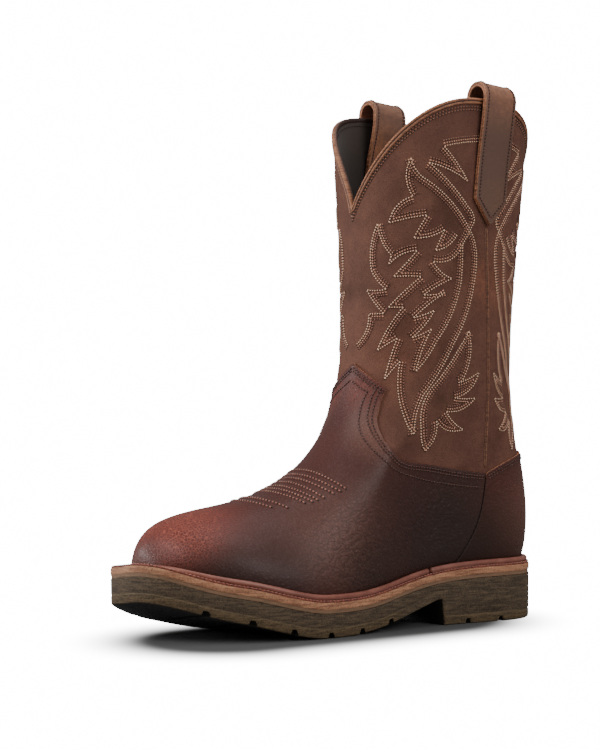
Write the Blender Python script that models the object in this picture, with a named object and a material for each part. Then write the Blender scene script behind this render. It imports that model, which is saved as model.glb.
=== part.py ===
"""Pull-on work boot for the left foot, as the pieces a bootmaker puts together.

Lengths are in millimetres until a piece is made, then in metres.
The toe points along -Y, the outer side of the foot is +X, the floor is z = 0.
"""
import math
from collections import namedtuple

import bmesh
import bpy
import numpy as np

for old in list(bpy.data.objects):
    bpy.data.objects.remove(old, do_unlink=True)

MM = 0.001
SEAT = 0.3
SMOOTH_ANGLE = 35.0

# Sole
SOLE_LENGTH = 305.0
TOE_ROUND = 0.22
TOE_SQUARE = 2.6
HEEL_ROUND = 0.12
HEEL_SQUARE = 2.3
BREAST = 0.293
BREAST_LEAN = 0.006
LUG_BAND = 6.0
LUG_DEPTH = 3.5
LUG_GROOVE = 3.6
LUG_PITCH = 27.0
LUG_FIRST = -121.0
LUG_LAST = 20.0
HEEL_GROOVES = (83.5, 111.5)
SIDE_GROOVE = 0.7
MIDSOLE_STEP = 0.6
MIDSOLE_THICKNESS = 7.0
WELT_THICKNESS = 2.4
BEAD_WIDTH = 3.0
BEAD_HEIGHT = 2.6
BEAD_LEAN = 0.9
INSOLE_THICKNESS = 5.0
INSOLE_GAP = 0.6
WELT_JOINT = 50.0

# Upper
WALL = 2.2
OVERLAY = 1.3
OVERLAY_GAP = 0.35
TUCK = 2.5
TUCK_HEIGHT = 14.0
SIDE_MARGIN = 4.0
ROUND = 2.2
ANKLE = (60.0, 150.0)
HEEL_CUP = (40.0, 90.0)
RIDGE_TOP = 200.0
INSTEP_RUN = 54.0
INSTEP = (75.0, 140.0)
RIDGE_LEAN = 4.0
LEAN_HEIGHT = 50.0
TOE_BULGE = 50.0
COLLAR_FRONT = 274.0
COLLAR_SIDE = 346.0
COLLAR_BACK = 285.0
SCALLOP = 2.3
INNER_SCALLOP = 3.2
THROAT = 172.0
FOOT_SHARE = 0.62
HEM_ROW = 0.9815
BINDING = 1.1
SEAM_WIDTH = 3.6
SEAM_HEIGHT = 1.0
SEAM_GAP = 0.45

# Pull straps
STRAP_WIDTH = 26.0
STRAP_THICKNESS = 3.4
STRAP_TOP = 358.0
STRAP_GAP = 0.55
STRAP_STAND = 3.0
STRAP_LEAN = 0.1
INNER_FORWARD = 16.5
LOOP = 7.4

Plan = namedtuple("Plan", "share centre half")
PLAN = (
    Plan(0.00, 0.0, 36.5),
    Plan(0.12, 0.0, 37.5),
    Plan(0.25, 1.0, 36.5),
    Plan(0.40, 4.0, 38.0),
    Plan(0.52, 4.5, 46.0),
    Plan(0.66, 1.5, 56.0),
    Plan(0.78, -2.5, 56.0),
    Plan(0.90, -6.5, 51.0),
    Plan(1.00, -8.5, 48.0),
)

Level = namedtuple("Level", "share tread joint")
LEVELS = (
    Level(0.00, 0.0, 30.5),
    Level(0.12, 0.0, 30.0),
    Level(0.24, 0.0, 28.5),
    Level(0.31, 17.0, 26.0),
    Level(0.38, 10.5, 22.2),
    Level(0.46, 4.2, 17.4),
    Level(0.54, 0.8, 14.4),
    Level(0.60, 0.0, 13.5),
    Level(0.68, 0.0, 13.5),
    Level(0.78, 1.5, 15.2),
    Level(0.90, 9.2, 22.8),
    Level(1.00, 21.0, 34.5),
)

Profile = namedtuple("Profile", "y z")
FRONT = (
    Profile(-141, 42),
    Profile(-142, 54),
    Profile(-132, 67),
    Profile(-112, 75),
    Profile(-74, 81.5),
    Profile(-39, 93),
    Profile(-13, 113),
    Profile(6, 143),
    Profile(14, 180),
    Profile(16, 225),
    Profile(14.5, 280),
    Profile(11, 370),
)
BACK = (
    Profile(146, 40),
    Profile(149, 60),
    Profile(148.5, 82),
    Profile(144, 108),
    Profile(137.5, 140),
    Profile(134.5, 175),
    Profile(135.5, 215),
    Profile(140, 275),
    Profile(150, 370),
)

Crown = namedtuple("Crown", "y fall")
CROWN = (
    Crown(-150, 30),
    Crown(-120, 34),
    Crown(-60, 48),
    Crown(0, 60),
)
Rear = namedtuple("Rear", "z run")
REAR = (
    Rear(40, 34),
    Rear(100, 40),
    Rear(200, 52),
)

Shaft = namedtuple("Shaft", "z half")
SHAFT = (
    Shaft(40, 33.5),
    Shaft(72, 36.0),
    Shaft(112, 38.5),
    Shaft(155, 42.5),
    Shaft(205, 47.5),
    Shaft(270, 52.0),
    Shaft(370, 56.5),
)


def column(rows, name):
    """One named column of a table."""
    return np.array([getattr(row, name) for row in rows], float)


def spline(knots, values):
    """Natural cubic curve through the values, held level beyond both ends."""
    knots = np.asarray(knots, float)
    values = np.asarray(values, float)
    step = np.diff(knots)
    slope = np.diff(values) / step
    inner = np.arange(1, len(knots) - 1)
    system = np.eye(len(knots))
    system[inner, inner - 1] = step[:-1]
    system[inner, inner] = 2 * (step[:-1] + step[1:])
    system[inner, inner + 1] = step[1:]
    right = np.zeros(len(knots))
    right[inner] = 6 * np.diff(slope)
    bend = np.linalg.solve(system, right)

    def at(place):
        place = np.clip(place, knots[0], knots[-1])
        i = np.clip(np.searchsorted(knots, place) - 1, 0, len(knots) - 2)
        t = place - knots[i]
        lean = slope[i] - step[i] * (2 * bend[i] + bend[i + 1]) / 6
        return values[i] + t * lean + t**2 * bend[i] / 2 + t**3 * (bend[i + 1] - bend[i]) / (6 * step[i])

    return at


def ease(x, low, high):
    """Smooth step from 0 at low to 1 at high."""
    t = np.clip((x - low) / (high - low), 0, 1)
    return t * t * (3 - 2 * t)


def closing(t, power):
    """Rounded end: 0 at t = 0, upright there, 1 and level at t = 1."""
    t = np.clip(t, 0, 1)
    return (1 - (1 - t) ** power) ** (1 / power)


plan_centre = spline(column(PLAN, "share"), column(PLAN, "centre"))
plan_half = spline(column(PLAN, "share"), column(PLAN, "half"))
joint_curve = spline(column(LEVELS, "share"), column(LEVELS, "joint"))
FORE = [row for row in LEVELS if row.share > BREAST]
tread_curve = spline(column(FORE, "share"), column(FORE, "tread"))
shaft_half = spline(column(SHAFT, "z"), column(SHAFT, "half"))


def share(y):
    """Place along the sole, 0 at the heel and 1 at the toe."""
    return 0.5 - np.asarray(y) / SOLE_LENGTH


def joint(y):
    """Height of the outsole's top where the midsole starts."""
    return joint_curve(share(y))


def tread(s):
    """Height of the tread: the heel flat, then the arch, the ball and the toe spring."""
    return np.where(s <= BREAST, 0.0, np.maximum(tread_curve(s), 0.0))


def outline(q, inset=0.0):
    """Sole edge from the toe (q = 0) to the heel (q = 1): y, centre, half width."""
    y = (q - 0.5) * (SOLE_LENGTH - 2 * inset)
    s = share(y)
    ends = closing(q / TOE_ROUND, TOE_SQUARE) * closing((1 - q) / HEEL_ROUND, HEEL_SQUARE)
    return y, plan_centre(s), (plan_half(s) - inset) * ends


def dense(rows):
    """Fine smooth line through a profile table: share of its length, y, z."""
    y = column(rows, "y")
    z = column(rows, "z")
    length = np.r_[0, np.cumsum(np.hypot(np.diff(y), np.diff(z)))]
    length /= length[-1]
    fine = np.linspace(0, 1, 1200)
    return fine, spline(length, y)(fine), np.maximum.accumulate(spline(length, z)(fine))


FRONT_SHARE, FRONT_Y, FRONT_Z = dense(FRONT)
BACK_SHARE, BACK_Y, BACK_Z = dense(BACK)


def front_y(z):
    return np.interp(z, FRONT_Z, FRONT_Y)


def back_y(z):
    return np.interp(z, BACK_Z, BACK_Y)


def ridge(y):
    """Height of the front line over y, without limit behind the shaft's front."""
    rise = np.maximum.accumulate(FRONT_Y)
    return np.where(y < rise[-1] - 0.01, np.interp(y, rise, FRONT_Z), 9999.0)


def feather(y):
    """Lower edge of the upper, just above the welt."""
    return joint(y) + MIDSOLE_THICKNESS + WELT_THICKNESS + SEAT


def half_width(y, z):
    """Half width of the upper: the last's plan below, the shaft's oval above, rounded at ridge and back."""
    s = share(y)
    foot = plan_half(s) - SIDE_MARGIN
    foot = foot * closing((y - front_y(np.minimum(z, TOE_BULGE))) / (TOE_ROUND * SOLE_LENGTH), TOE_SQUARE)
    rise = ease(z, *ANKLE)
    wide = foot * (1 - rise) + shaft_half(z) * rise
    heel = ease(y, *HEEL_CUP)
    wide = wide * (1 - heel) + shaft_half(z) * heel
    wide = wide - TUCK * np.clip(1 - (z - feather(y)) / TUCK_HEIGHT, 0, 1) ** 2
    below = np.where(z < RIDGE_TOP, np.maximum(ridge(y) - z, 1e-6), 9999.0)
    behind = np.maximum(y - front_y(z), 1e-6)
    fall = np.interp(y, column(CROWN, "y"), column(CROWN, "fall"))
    run = INSTEP_RUN * ease(z, *INSTEP) + 1e-6
    crown = closing(1 / np.sqrt((fall / below) ** 2 + (run / behind) ** 2), ROUND)
    rear_run = np.interp(z, column(REAR, "z"), column(REAR, "run"))
    rear = closing((back_y(z) - y) / rear_run, ROUND)
    return np.maximum(wide, 0) * crown * rear


def centre_line(y, z):
    """Sideways curve of the foot, fading out up the shaft; the ridge leans to the inner side."""
    lean = RIDGE_LEAN * np.clip((z - feather(y)) / LEAN_HEIGHT, 0, 1) * ease(-y, -20, 60)
    return (plan_centre(share(y)) - lean) * (1 - ease(z, 70, 150))


def collar(q, sign):
    """Height of the collar from the front dip (q = 0) over the side scallop to the back dip (q = 1)."""
    rise = closing(2 * q, SCALLOP if sign > 0 else INNER_SCALLOP)
    front = COLLAR_FRONT + (COLLAR_SIDE - COLLAR_FRONT) * rise
    back = COLLAR_BACK + (COLLAR_SIDE - COLLAR_BACK) * closing(2 - 2 * q, SCALLOP)
    return np.where(q < 0.5, front, back)


def side_view(v, q, sign):
    """Side view y and z of one side of the upper: v from the feather line to the collar, q from front to back."""
    foot_v = np.clip(v / FOOT_SHARE, 0, 1)
    top_front = np.interp(THROAT, FRONT_Z, FRONT_SHARE)
    top_back = np.interp(THROAT, BACK_Z, BACK_SHARE)
    fy = np.interp(foot_v * top_front, FRONT_SHARE, FRONT_Y)
    fz = np.interp(foot_v * top_front, FRONT_SHARE, FRONT_Z)
    late = foot_v ** 1.35
    by = np.interp(late * top_back, BACK_SHARE, BACK_Y)
    bz = np.interp(late * top_back, BACK_SHARE, BACK_Z)
    y = fy + (by - fy) * q
    line = fz + (bz - fz) * q
    first_y = FRONT[0].y + (BACK[0].y - FRONT[0].y) * q
    first = FRONT[0].z + (BACK[0].z - FRONT[0].z) * q
    z = line + (1 - ease(foot_v, 0, 0.45)) * (feather(first_y) - first)
    shaft_v = np.clip((v - FOOT_SHARE) / (1 - FOOT_SHARE), 0, 1)
    z = z + shaft_v * (collar(q, sign) - THROAT)
    level = ease(fz, 140, THROAT)
    return y * (1 - level) + level * (front_y(z) + (back_y(z) - front_y(z)) * q), z


def upper_grid(rows, columns):
    """Rings of the upper's outside, each from the front by the outer side to the back and home."""
    fine = (1 - np.cos(np.linspace(0, np.pi, 400))) / 2
    grid = np.zeros((len(rows), 2 * columns - 2, 3))
    for i, v in enumerate(rows):
        for sign, at in ((1, slice(0, columns)), (-1, slice(columns - 1, None))):
            y, z = side_view(v, fine, sign)
            line = np.stack([centre_line(y, z) + sign * half_width(y, z), y, z], axis=1)
            length = np.r_[0, np.cumsum(np.linalg.norm(np.diff(line, axis=0), axis=1))]
            even = np.linspace(0, length[-1], columns)
            side = np.stack([np.interp(even, length, line[:, k]) for k in range(3)], axis=1)
            grid[i, at] = side if sign > 0 else side[:0:-1]
    return grid


# Build
def finish(name, colour, roughness):
    """Plain surface finish of one piece."""
    made = bpy.data.materials.new(name)
    made.use_nodes = True
    shader = made.node_tree.nodes["Principled BSDF"]
    shader.inputs["Base Color"].default_value = (*colour, 1.0)
    shader.inputs["Roughness"].default_value = roughness
    return made


def make(name, points, faces, surface):
    """Closed solid from points in millimetres."""
    mesh = bpy.data.meshes.new(name)
    mesh.from_pydata((np.asarray(points) * MM).tolist(), [], faces)
    work = bmesh.new()
    work.from_mesh(mesh)
    bmesh.ops.recalc_face_normals(work, faces=work.faces)
    work.to_mesh(mesh)
    work.free()
    mesh.shade_smooth()
    mesh.set_sharp_from_angle(angle=math.radians(SMOOTH_ANGLE))
    mesh.materials.append(surface)
    piece = bpy.data.objects.new(name, mesh)
    bpy.context.scene.collection.objects.link(piece)
    return piece


def trim(piece, cutter, operation):
    """Cut a piece with another solid and drop that solid."""
    step = piece.modifiers.new("trim", "BOOLEAN")
    step.operation = operation
    step.solver = "EXACT"
    step.object = cutter
    graph = bpy.context.evaluated_depsgraph_get()
    cut_mesh = bpy.data.meshes.new_from_object(piece.evaluated_get(graph))
    piece.modifiers.clear()
    piece.data = cut_mesh
    bpy.data.objects.remove(cutter, do_unlink=True)


def band(rows, columns, wrap):
    """Triangles of a grid of points, all split along the same diagonal."""
    faces = []
    for i in range(rows - 1):
        for j in range(columns if wrap else columns - 1):
            a, b = i * columns + j, i * columns + (j + 1) % columns
            faces += [(a, b, b + columns), (a, b + columns, a + columns)]
    return faces


def shell(name, outer, inner, surface):
    """Wall between two grids of rings, open at both ends."""
    rows, columns = outer.shape[:2]
    skin_count = rows * columns
    front = band(rows, columns, True)
    faces = front + [(c + skin_count, b + skin_count, a + skin_count) for a, b, c in front]
    for start in (0, (rows - 1) * columns):
        for j in range(columns):
            a, b = start + j, start + (j + 1) % columns
            faces += [(a, b, b + skin_count), (a, b + skin_count, a + skin_count)]
    return make(name, np.concatenate([outer.reshape(-1, 3), inner.reshape(-1, 3)]), faces, surface)


def stack(name, rings, surface):
    """Solid slab of rings; both ends closed by strips across from the outer to the inner side."""
    rings = np.asarray(rings)
    count, columns = rings.shape[:2]
    faces = band(count, columns, True)
    for start in (0, (count - 1) * columns):
        faces += [(start, start + 1, start + columns - 1)]
        half = columns // 2
        for j in range(1, half):
            a, b = start + j, start + j + 1
            c, d = start + columns - j - 1, start + columns - j
            faces += [(a, b, c), (a, c, d)] if b != c else [(a, b, d)]
    return make(name, rings.reshape(-1, 3), faces, surface)


def sheet(name, face, rear, surface):
    """Thin sheet between two open grids."""
    rows, columns = face.shape[:2]
    skin = rows * columns
    front = band(rows, columns, False)
    faces = front + [(c + skin, b + skin, a + skin) for a, b, c in front]
    top = [(rows - 1) * columns + j for j in range(columns)]
    left = [i * columns for i in range(rows)]
    right = [i * columns + columns - 1 for i in range(rows)]
    for edge in (list(range(columns)), right, top[::-1], left[::-1]):
        for a, b in zip(edge[:-1], edge[1:]):
            faces += [(a, b, b + skin), (a, b + skin, a + skin)]
    return make(name, np.concatenate([face.reshape(-1, 3), rear.reshape(-1, 3)]), faces, surface)


def prism(name, corners, surface, low=-90.0, high=90.0):
    """Side view region drawn out across the boot."""
    count = len(corners)
    points = [(x, y, z) for x in (low, high) for y, z in corners]
    faces = [tuple(range(count)), tuple(range(2 * count - 1, count - 1, -1))]
    faces += [(i, (i + 1) % count, count + (i + 1) % count, count + i) for i in range(count)]
    return make(name, points, faces, surface)


def offset(grid, distance):
    """Rings moved along their own normals; the first and last ring keep their height."""
    along = np.roll(grid, -1, axis=1) - np.roll(grid, 1, axis=1)
    up = np.gradient(grid, axis=0)
    normal = np.cross(along, up)
    normal[[0, -1], :, 2] = 0
    normal /= np.linalg.norm(normal, axis=2, keepdims=True)
    outward = np.sign(np.sum(normal[:, 0] * [0, -1, 0]))
    return grid + outward * distance * normal


def leather(grid, distance):
    """Wall surface off the upper's rings, its lower edge level with the welt."""
    moved = offset(grid, distance)
    moved[0, :, 2] = feather(moved[0, :, 1])
    return moved


# Finishes
rubber = finish("outsole_rubber", (0.06, 0.05, 0.04), 0.8)
layer = finish("midsole_layer", (0.35, 0.22, 0.13), 0.7)
rand = finish("welt_leather", (0.17, 0.05, 0.03), 0.4)
board = finish("insole_board", (0.12, 0.10, 0.09), 0.9)
shaft_leather = finish("shaft_leather", (0.12, 0.055, 0.03), 0.7)
vamp_leather = finish("vamp_leather", (0.14, 0.04, 0.025), 0.45)
counter_leather = finish("counter_leather", (0.09, 0.035, 0.022), 0.55)
binding_leather = finish("binding_leather", (0.18, 0.07, 0.035), 0.6)
seam_leather = finish("seam_leather", (0.13, 0.055, 0.03), 0.65)
strap_leather = finish("strap_leather", (0.14, 0.06, 0.03), 0.65)

# Outsole
turn = np.linspace(0, math.pi, 35)
stations = np.sort(np.r_[(1 - np.cos(turn)) / 2, 1 - BREAST + 1e-4, 1 - BREAST - BREAST_LEAN])
Ring = namedtuple("Ring", "inset rise")


def sole_ring(inset, height):
    """Closed ring on an inset sole outline, from the toe by the outer side to the heel and home."""
    y, centre, half = outline(stations, inset)
    z = height(y)
    outer = np.stack([centre + half, y, z], axis=1)
    inner = np.stack([centre - half, y, z], axis=1)
    return np.concatenate([outer, inner[-2:0:-1]])


EDGE = (
    Ring(1.6, 0.0),
    Ring(0.5, 1.2),
    Ring(0.3, LUG_BAND - 0.6),
    Ring(SIDE_GROOVE, LUG_BAND),
    Ring(SIDE_GROOVE, LUG_BAND + 0.9),
    Ring(0.3, LUG_BAND + 1.6),
)
tread_line = tread(1 - stations)
rings = [sole_ring(row.inset, lambda y, row=row: tread_line + row.rise) for row in EDGE]
rings.append(sole_ring(0.2, joint))
outsole = stack("outsole", rings, rubber)

FORE_GROOVES = np.arange(LUG_FIRST, LUG_LAST, LUG_PITCH)
for y in (*FORE_GROOVES, *HEEL_GROOVES):
    near, far = tread(share(y - 2)), tread(share(y + 2))
    slope = (far - near) / 4
    w, top = LUG_GROOVE / 2, (near + far) / 2 + LUG_DEPTH
    corners = [(y - w, top - w * slope), (y + w, top + w * slope)]
    corners += [(y + w + slope * 9, top - 9), (y - w + slope * 9, top - 9)]
    trim(outsole, prism("groove", corners, rubber), "DIFFERENCE")

# Midsole
MIDSOLE_EDGE = (
    Ring(MIDSOLE_STEP, SEAT),
    Ring(MIDSOLE_STEP, 2.4),
    Ring(0.1, 2.9),
    Ring(0.0, 3.5),
    Ring(0.0, MIDSOLE_THICKNESS - 0.7),
    Ring(0.7, MIDSOLE_THICKNESS),
)
rings = [sole_ring(row.inset, lambda y, row=row: joint(y) + row.rise) for row in MIDSOLE_EDGE]
stack("midsole", rings, layer)

# Upper
foot_rows = np.linspace(0.12, FOOT_SHARE, 11)
shaft_rows = np.linspace(FOOT_SHARE, HEM_ROW, 5)[1:]
upper_rows = np.r_[0, 0.018, 0.04, 0.062, 0.085, foot_rows, shaft_rows, 1]
UPPER_COLUMNS = 22
skin = upper_grid(upper_rows, UPPER_COLUMNS)
lining = leather(skin, -WALL)
upper = shell("upper", skin, lining, shaft_leather)

# Vamp and counter
VAMP_EDGE = (
    Profile(12, 166.0),
    Profile(16, 158.5),
    Profile(22.5, 153.0),
    Profile(18.5, 145.0),
    Profile(15, 137.0),
    Profile(13, 129.0),
    Profile(13.5, 120.5),
    Profile(18, 113.0),
    Profile(30, 108.0),
    Profile(60, 104.5),
    Profile(95.7, 100.0),
)
QUARTER_SEAM = (
    Profile(95, 94.0),
    Profile(93, 79.0),
    Profile(88.5, 64.0),
    Profile(75.5, 43.5),
    Profile(66, 30.0),
)
COUNTER_EDGE = (
    Profile(96.5, 98.0),
    Profile(108, 104.5),
    Profile(121, 109.5),
    Profile(142, 114.0),
    Profile(170, 116.0),
)
under = leather(skin, OVERLAY_GAP)
over = leather(skin, OVERLAY_GAP + OVERLAY)
vamp = shell("vamp", over, under, vamp_leather)
region = [Profile(-180, 170.0), Profile(8, 167.0), *VAMP_EDGE, *QUARTER_SEAM, Profile(66, 5.0), Profile(-180, 5.0)]
trim(vamp, prism("vamp_region", region, vamp_leather), "INTERSECT")
counter = shell("counter", over, under, counter_leather)
region = [Profile(row.y + 0.4, row.z - 0.1) for row in QUARTER_SEAM[::-1]]
region += [*COUNTER_EDGE, Profile(170, 5.0), Profile(66.4, 5.0)]
trim(counter, prism("counter_region", region, counter_leather), "INTERSECT")

# Welt
WELT_COLUMNS = 31
foot_line = upper_grid(np.array([0.0, 0.02]), WELT_COLUMNS)
upright = foot_line.copy()
upright[1] = foot_line[0] + [0, 0, 1]
lining_line = offset(upright, -WALL)[0]
bead_away = OVERLAY_GAP + OVERLAY + SEAT + BEAD_LEAN
bead_line = offset(upright, bead_away)[0]
crest_line = offset(upright, bead_away + BEAD_WIDTH)[0]


def even_ring(line, columns):
    """Ring of a sole outline with the same even spacing on each side."""
    half = len(line) // 2
    parts = []
    for run in (line[: half + 1], np.concatenate([line[half:], line[:1]])):
        length = np.r_[0, np.cumsum(np.linalg.norm(np.diff(run, axis=0), axis=1))]
        even = np.linspace(0, length[-1], columns)
        parts.append(np.stack([np.interp(even, length, run[:, k]) for k in range(3)], axis=1)[:-1])
    return np.concatenate(parts)


q_fine = (1 - np.cos(np.linspace(0, math.pi, 400))) / 2
edge_y, edge_centre, edge_half = outline(q_fine, 0.4)
edge_line = np.stack([edge_centre + edge_half, edge_y, 0 * edge_y], axis=1)
edge_back = np.stack([edge_centre - edge_half, edge_y, 0 * edge_y], axis=1)
edge_line = even_ring(np.concatenate([edge_line, edge_back[-2:0:-1]]), WELT_COLUMNS)


def on_midsole(line, rise):
    """Ring set at a height over the midsole's top."""
    lifted = line.copy()
    lifted[:, 2] = joint(line[:, 1]) + MIDSOLE_THICKNESS + rise
    return lifted


bead_mid = (bead_line + crest_line) / 2
section = [
    on_midsole(lining_line, SEAT),
    on_midsole(edge_line, SEAT),
    on_midsole(edge_line, WELT_THICKNESS - 0.2),
    on_midsole(crest_line, WELT_THICKNESS),
    on_midsole(crest_line * 0.85 + bead_mid * 0.15, WELT_THICKNESS + 0.7 * BEAD_HEIGHT),
    on_midsole(bead_mid, WELT_THICKNESS + BEAD_HEIGHT),
    on_midsole(bead_line * 0.9 + bead_mid * 0.1, WELT_THICKNESS + 0.8 * BEAD_HEIGHT),
    on_midsole(bead_line, WELT_THICKNESS),
    on_midsole(lining_line, WELT_THICKNESS),
]
start = int(np.argmin(np.abs(edge_line[:WELT_COLUMNS, 1] - WELT_JOINT)))
strip = np.roll(np.array(section), -start, axis=1)
last_step = strip[:, -1:] - strip[:, :1]
closing_end = strip[:, :1] + last_step * SEAT / np.linalg.norm(last_step[1])
strip = np.concatenate([strip, closing_end], axis=1).transpose(1, 0, 2)
count, columns = strip.shape[:2]
faces = band(count, columns, True)
for first in (0, (count - 1) * columns):
    faces += [(first, first + 1, first + 2), (first, first + 2, first + 8), (first + 2, first + 3, first + 8)]
    faces += [(first + 3, first + 7, first + 8), (first + 3, first + 4, first + 7)]
    faces += [(first + 4, first + 6, first + 7), (first + 4, first + 5, first + 6)]
make("welt", strip.reshape(-1, 3), faces, rand)

# Insole
upright = np.stack([skin[0], skin[0] + [0, 0, 1]])
insole_line = offset(upright, -WALL - INSOLE_GAP)[0]
stack("insole", [on_midsole(insole_line, SEAT), on_midsole(insole_line, INSOLE_THICKNESS)], board)

# Collar binding

def collar_ring(depth, distance):
    """Ring at a share of the hem's depth, set off the outside, or off the lining when below zero."""
    wall = skin if distance > 0 else lining
    normal = (skin[-1] - lining[-1]) / WALL
    level = wall[-1] + (wall[-2] - wall[-1]) * max(depth, 0)
    return level + normal * distance - [0, 0, min(depth, 0)]


fold = SEAT + BINDING
hem = [
    collar_ring(1.0, SEAT),
    collar_ring(1.0, fold),
    collar_ring(-0.4, fold),
    collar_ring(-fold, fold * 0.2),
    collar_ring(-fold, -fold * 0.2),
    collar_ring(-0.4, -fold),
    collar_ring(1.0, -fold),
    collar_ring(1.0, -SEAT),
    collar_ring(-SEAT, -SEAT),
    collar_ring(-SEAT, SEAT),
]
hem = np.array(hem)
faces = band(len(hem), hem.shape[1], True)
last = (len(hem) - 1) * hem.shape[1]
for j in range(hem.shape[1]):
    k = (j + 1) % hem.shape[1]
    faces += [(last + j, last + k, k), (last + j, k, j)]
make("collar_binding", hem.reshape(-1, 3), faces, binding_leather)

# Side seams
SEAM = (
    Profile(86.5, 263.0),
    Profile(90.5, 215.0),
    Profile(95, 162.0),
    Profile(96, 103.0),
)
seam_y = spline(-column(SEAM, "z"), column(SEAM, "y"))
z = np.linspace(SEAM[0].z, SEAM[-1].z, 12)[:, None]
lean = INNER_FORWARD * (z - SEAM[-1].z) / (SEAM[0].z - SEAM[-1].z)
crown = SEAM_HEIGHT * np.array([0.55, 1.0, 0.55])[None]
for name, sign in (("side_seam_outer", 1), ("side_seam_inner", -1)):
    y = seam_y(-z) + np.array([-0.5, 0.0, 0.5])[None] * SEAM_WIDTH - (0 if sign > 0 else lean)
    x = half_width(y, z) + SEAM_GAP
    level = np.broadcast_to(z, y.shape)
    rear = np.stack([centre_line(y, z) + sign * x, y, level], axis=2)
    face = np.stack([centre_line(y, z) + sign * (x + crown), y, level], axis=2)
    sheet(name, face, rear, seam_leather)

# Pull straps
Strap = namedtuple("Strap", "z middle half")
STRAP = (
    Strap(266.5, 87.3, 2.0),
    Strap(273.0, 87.5, 8.5),
    Strap(280.0, 87.8, 13.0),
    Strap(346.0, 92.0, 13.0),
    Strap(358.0, 92.6, 13.0),
)
Leg = namedtuple("Leg", "z stand")
turn_z = STRAP_TOP - STRAP_THICKNESS - LOOP
inside = 2 * LOOP - STRAP_STAND - WALL
OUTER_LEG = (
    Leg(266.5, STRAP_GAP),
    Leg(273.0, STRAP_GAP),
    Leg(280.0, STRAP_GAP),
    Leg(298.0, STRAP_GAP),
    Leg(312.0, 1.1),
    Leg(324.0, 2.0),
    Leg(336.0, 2.7),
    Leg(turn_z, STRAP_STAND),
)
INNER_LEG = (
    Leg(turn_z, inside),
    Leg(338.0, 0.94 * inside),
    Leg(327.0, 0.66 * inside),
    Leg(316.0, 0.34 * inside),
    Leg(305.0, 0.13 * inside),
    Leg(294.0, 0.95),
    Leg(280.0, 0.95),
)
angle = np.linspace(0, math.pi, 9)[1:-1]


def strap_leg(leg, sign, thickness, outside):
    """One leg of a strap off the wall, its lines square to the strap's own lean."""
    z = column(leg, "z")[:, None]
    across = np.linspace(-1, 1, 5)[None]
    half = np.interp(z, column(STRAP, "z"), column(STRAP, "half")) if outside else STRAP_WIDTH / 2
    y = np.interp(z, column(STRAP, "z"), column(STRAP, "middle")) + across * half
    y = y - (0 if sign > 0 else INNER_FORWARD)
    z = z - STRAP_LEAN * across * half
    stand = column(leg, "stand")[:, None]
    away = stand + thickness if outside else -WALL - stand - thickness
    return np.stack([sign * (half_width(y, np.minimum(z, COLLAR_SIDE)) + away), y, z], axis=2)


def strap_grid(sign, thickness):
    """Strap surface from the outer tip over the loop to the inner end; thickness 0 is the face to the wall."""
    left = strap_leg(OUTER_LEG, sign, thickness, True)
    right = strap_leg(INNER_LEG, sign, thickness, False)
    middle = (left[-1] + right[0]) / 2
    radius = LOOP + thickness
    bow = [middle + [sign * radius * math.cos(t), 0, radius * math.sin(t)] for t in angle]
    return np.concatenate([left, np.array(bow), right])


for name, sign in (("pull_strap_outer", 1), ("pull_strap_inner", -1)):
    sheet(name, strap_grid(sign, STRAP_THICKNESS), strap_grid(sign, 0.0), strap_leather)
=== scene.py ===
# %% [markdown]
# A pull-on leather work boot, dressed over its CAD frame.
# The frame brings twelve plain solids. This script puts a finer piece in place of each one,
# gives it leather, rubber or thread, and sews the rows of stitches on.
# Every shape is a formula of two parameters, worked out for all its points at once with numpy.

# %% Frame
import math
from collections import namedtuple

import bmesh
import bpy
import numpy as np
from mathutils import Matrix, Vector


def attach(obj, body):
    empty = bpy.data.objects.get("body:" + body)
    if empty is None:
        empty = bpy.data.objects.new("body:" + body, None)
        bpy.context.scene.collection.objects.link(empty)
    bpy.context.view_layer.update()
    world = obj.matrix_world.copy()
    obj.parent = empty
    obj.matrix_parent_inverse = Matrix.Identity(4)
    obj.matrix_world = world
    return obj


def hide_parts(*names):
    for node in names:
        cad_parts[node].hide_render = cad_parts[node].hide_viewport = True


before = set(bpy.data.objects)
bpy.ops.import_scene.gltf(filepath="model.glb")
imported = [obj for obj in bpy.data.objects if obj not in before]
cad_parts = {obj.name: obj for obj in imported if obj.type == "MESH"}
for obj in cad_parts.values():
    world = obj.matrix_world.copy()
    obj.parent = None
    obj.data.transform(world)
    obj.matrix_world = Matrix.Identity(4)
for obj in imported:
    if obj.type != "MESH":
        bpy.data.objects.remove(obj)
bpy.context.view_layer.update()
MM = 0.001

# %% [markdown]
# The camera comes first, because everything after it is judged through it.
# It stands in front of the outer side, a little lower than half the boot's height, with a long lens.
# Aiming it a little to one side puts the boot in its place in the picture, so no lens shift is needed.

# %% Camera
AZIMUTH = math.radians(56.0)
PITCH = math.radians(-0.8)
DISTANCE = 1.244
FOCAL_PIXELS = 1887.0
TARGET = np.array([0.0, 0.0, 0.160])
TARGET_PIXELS = np.array([34.0, 7.6])
LONG_SIDE_PIXELS = 750.0
SENSOR = 36.0

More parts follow.
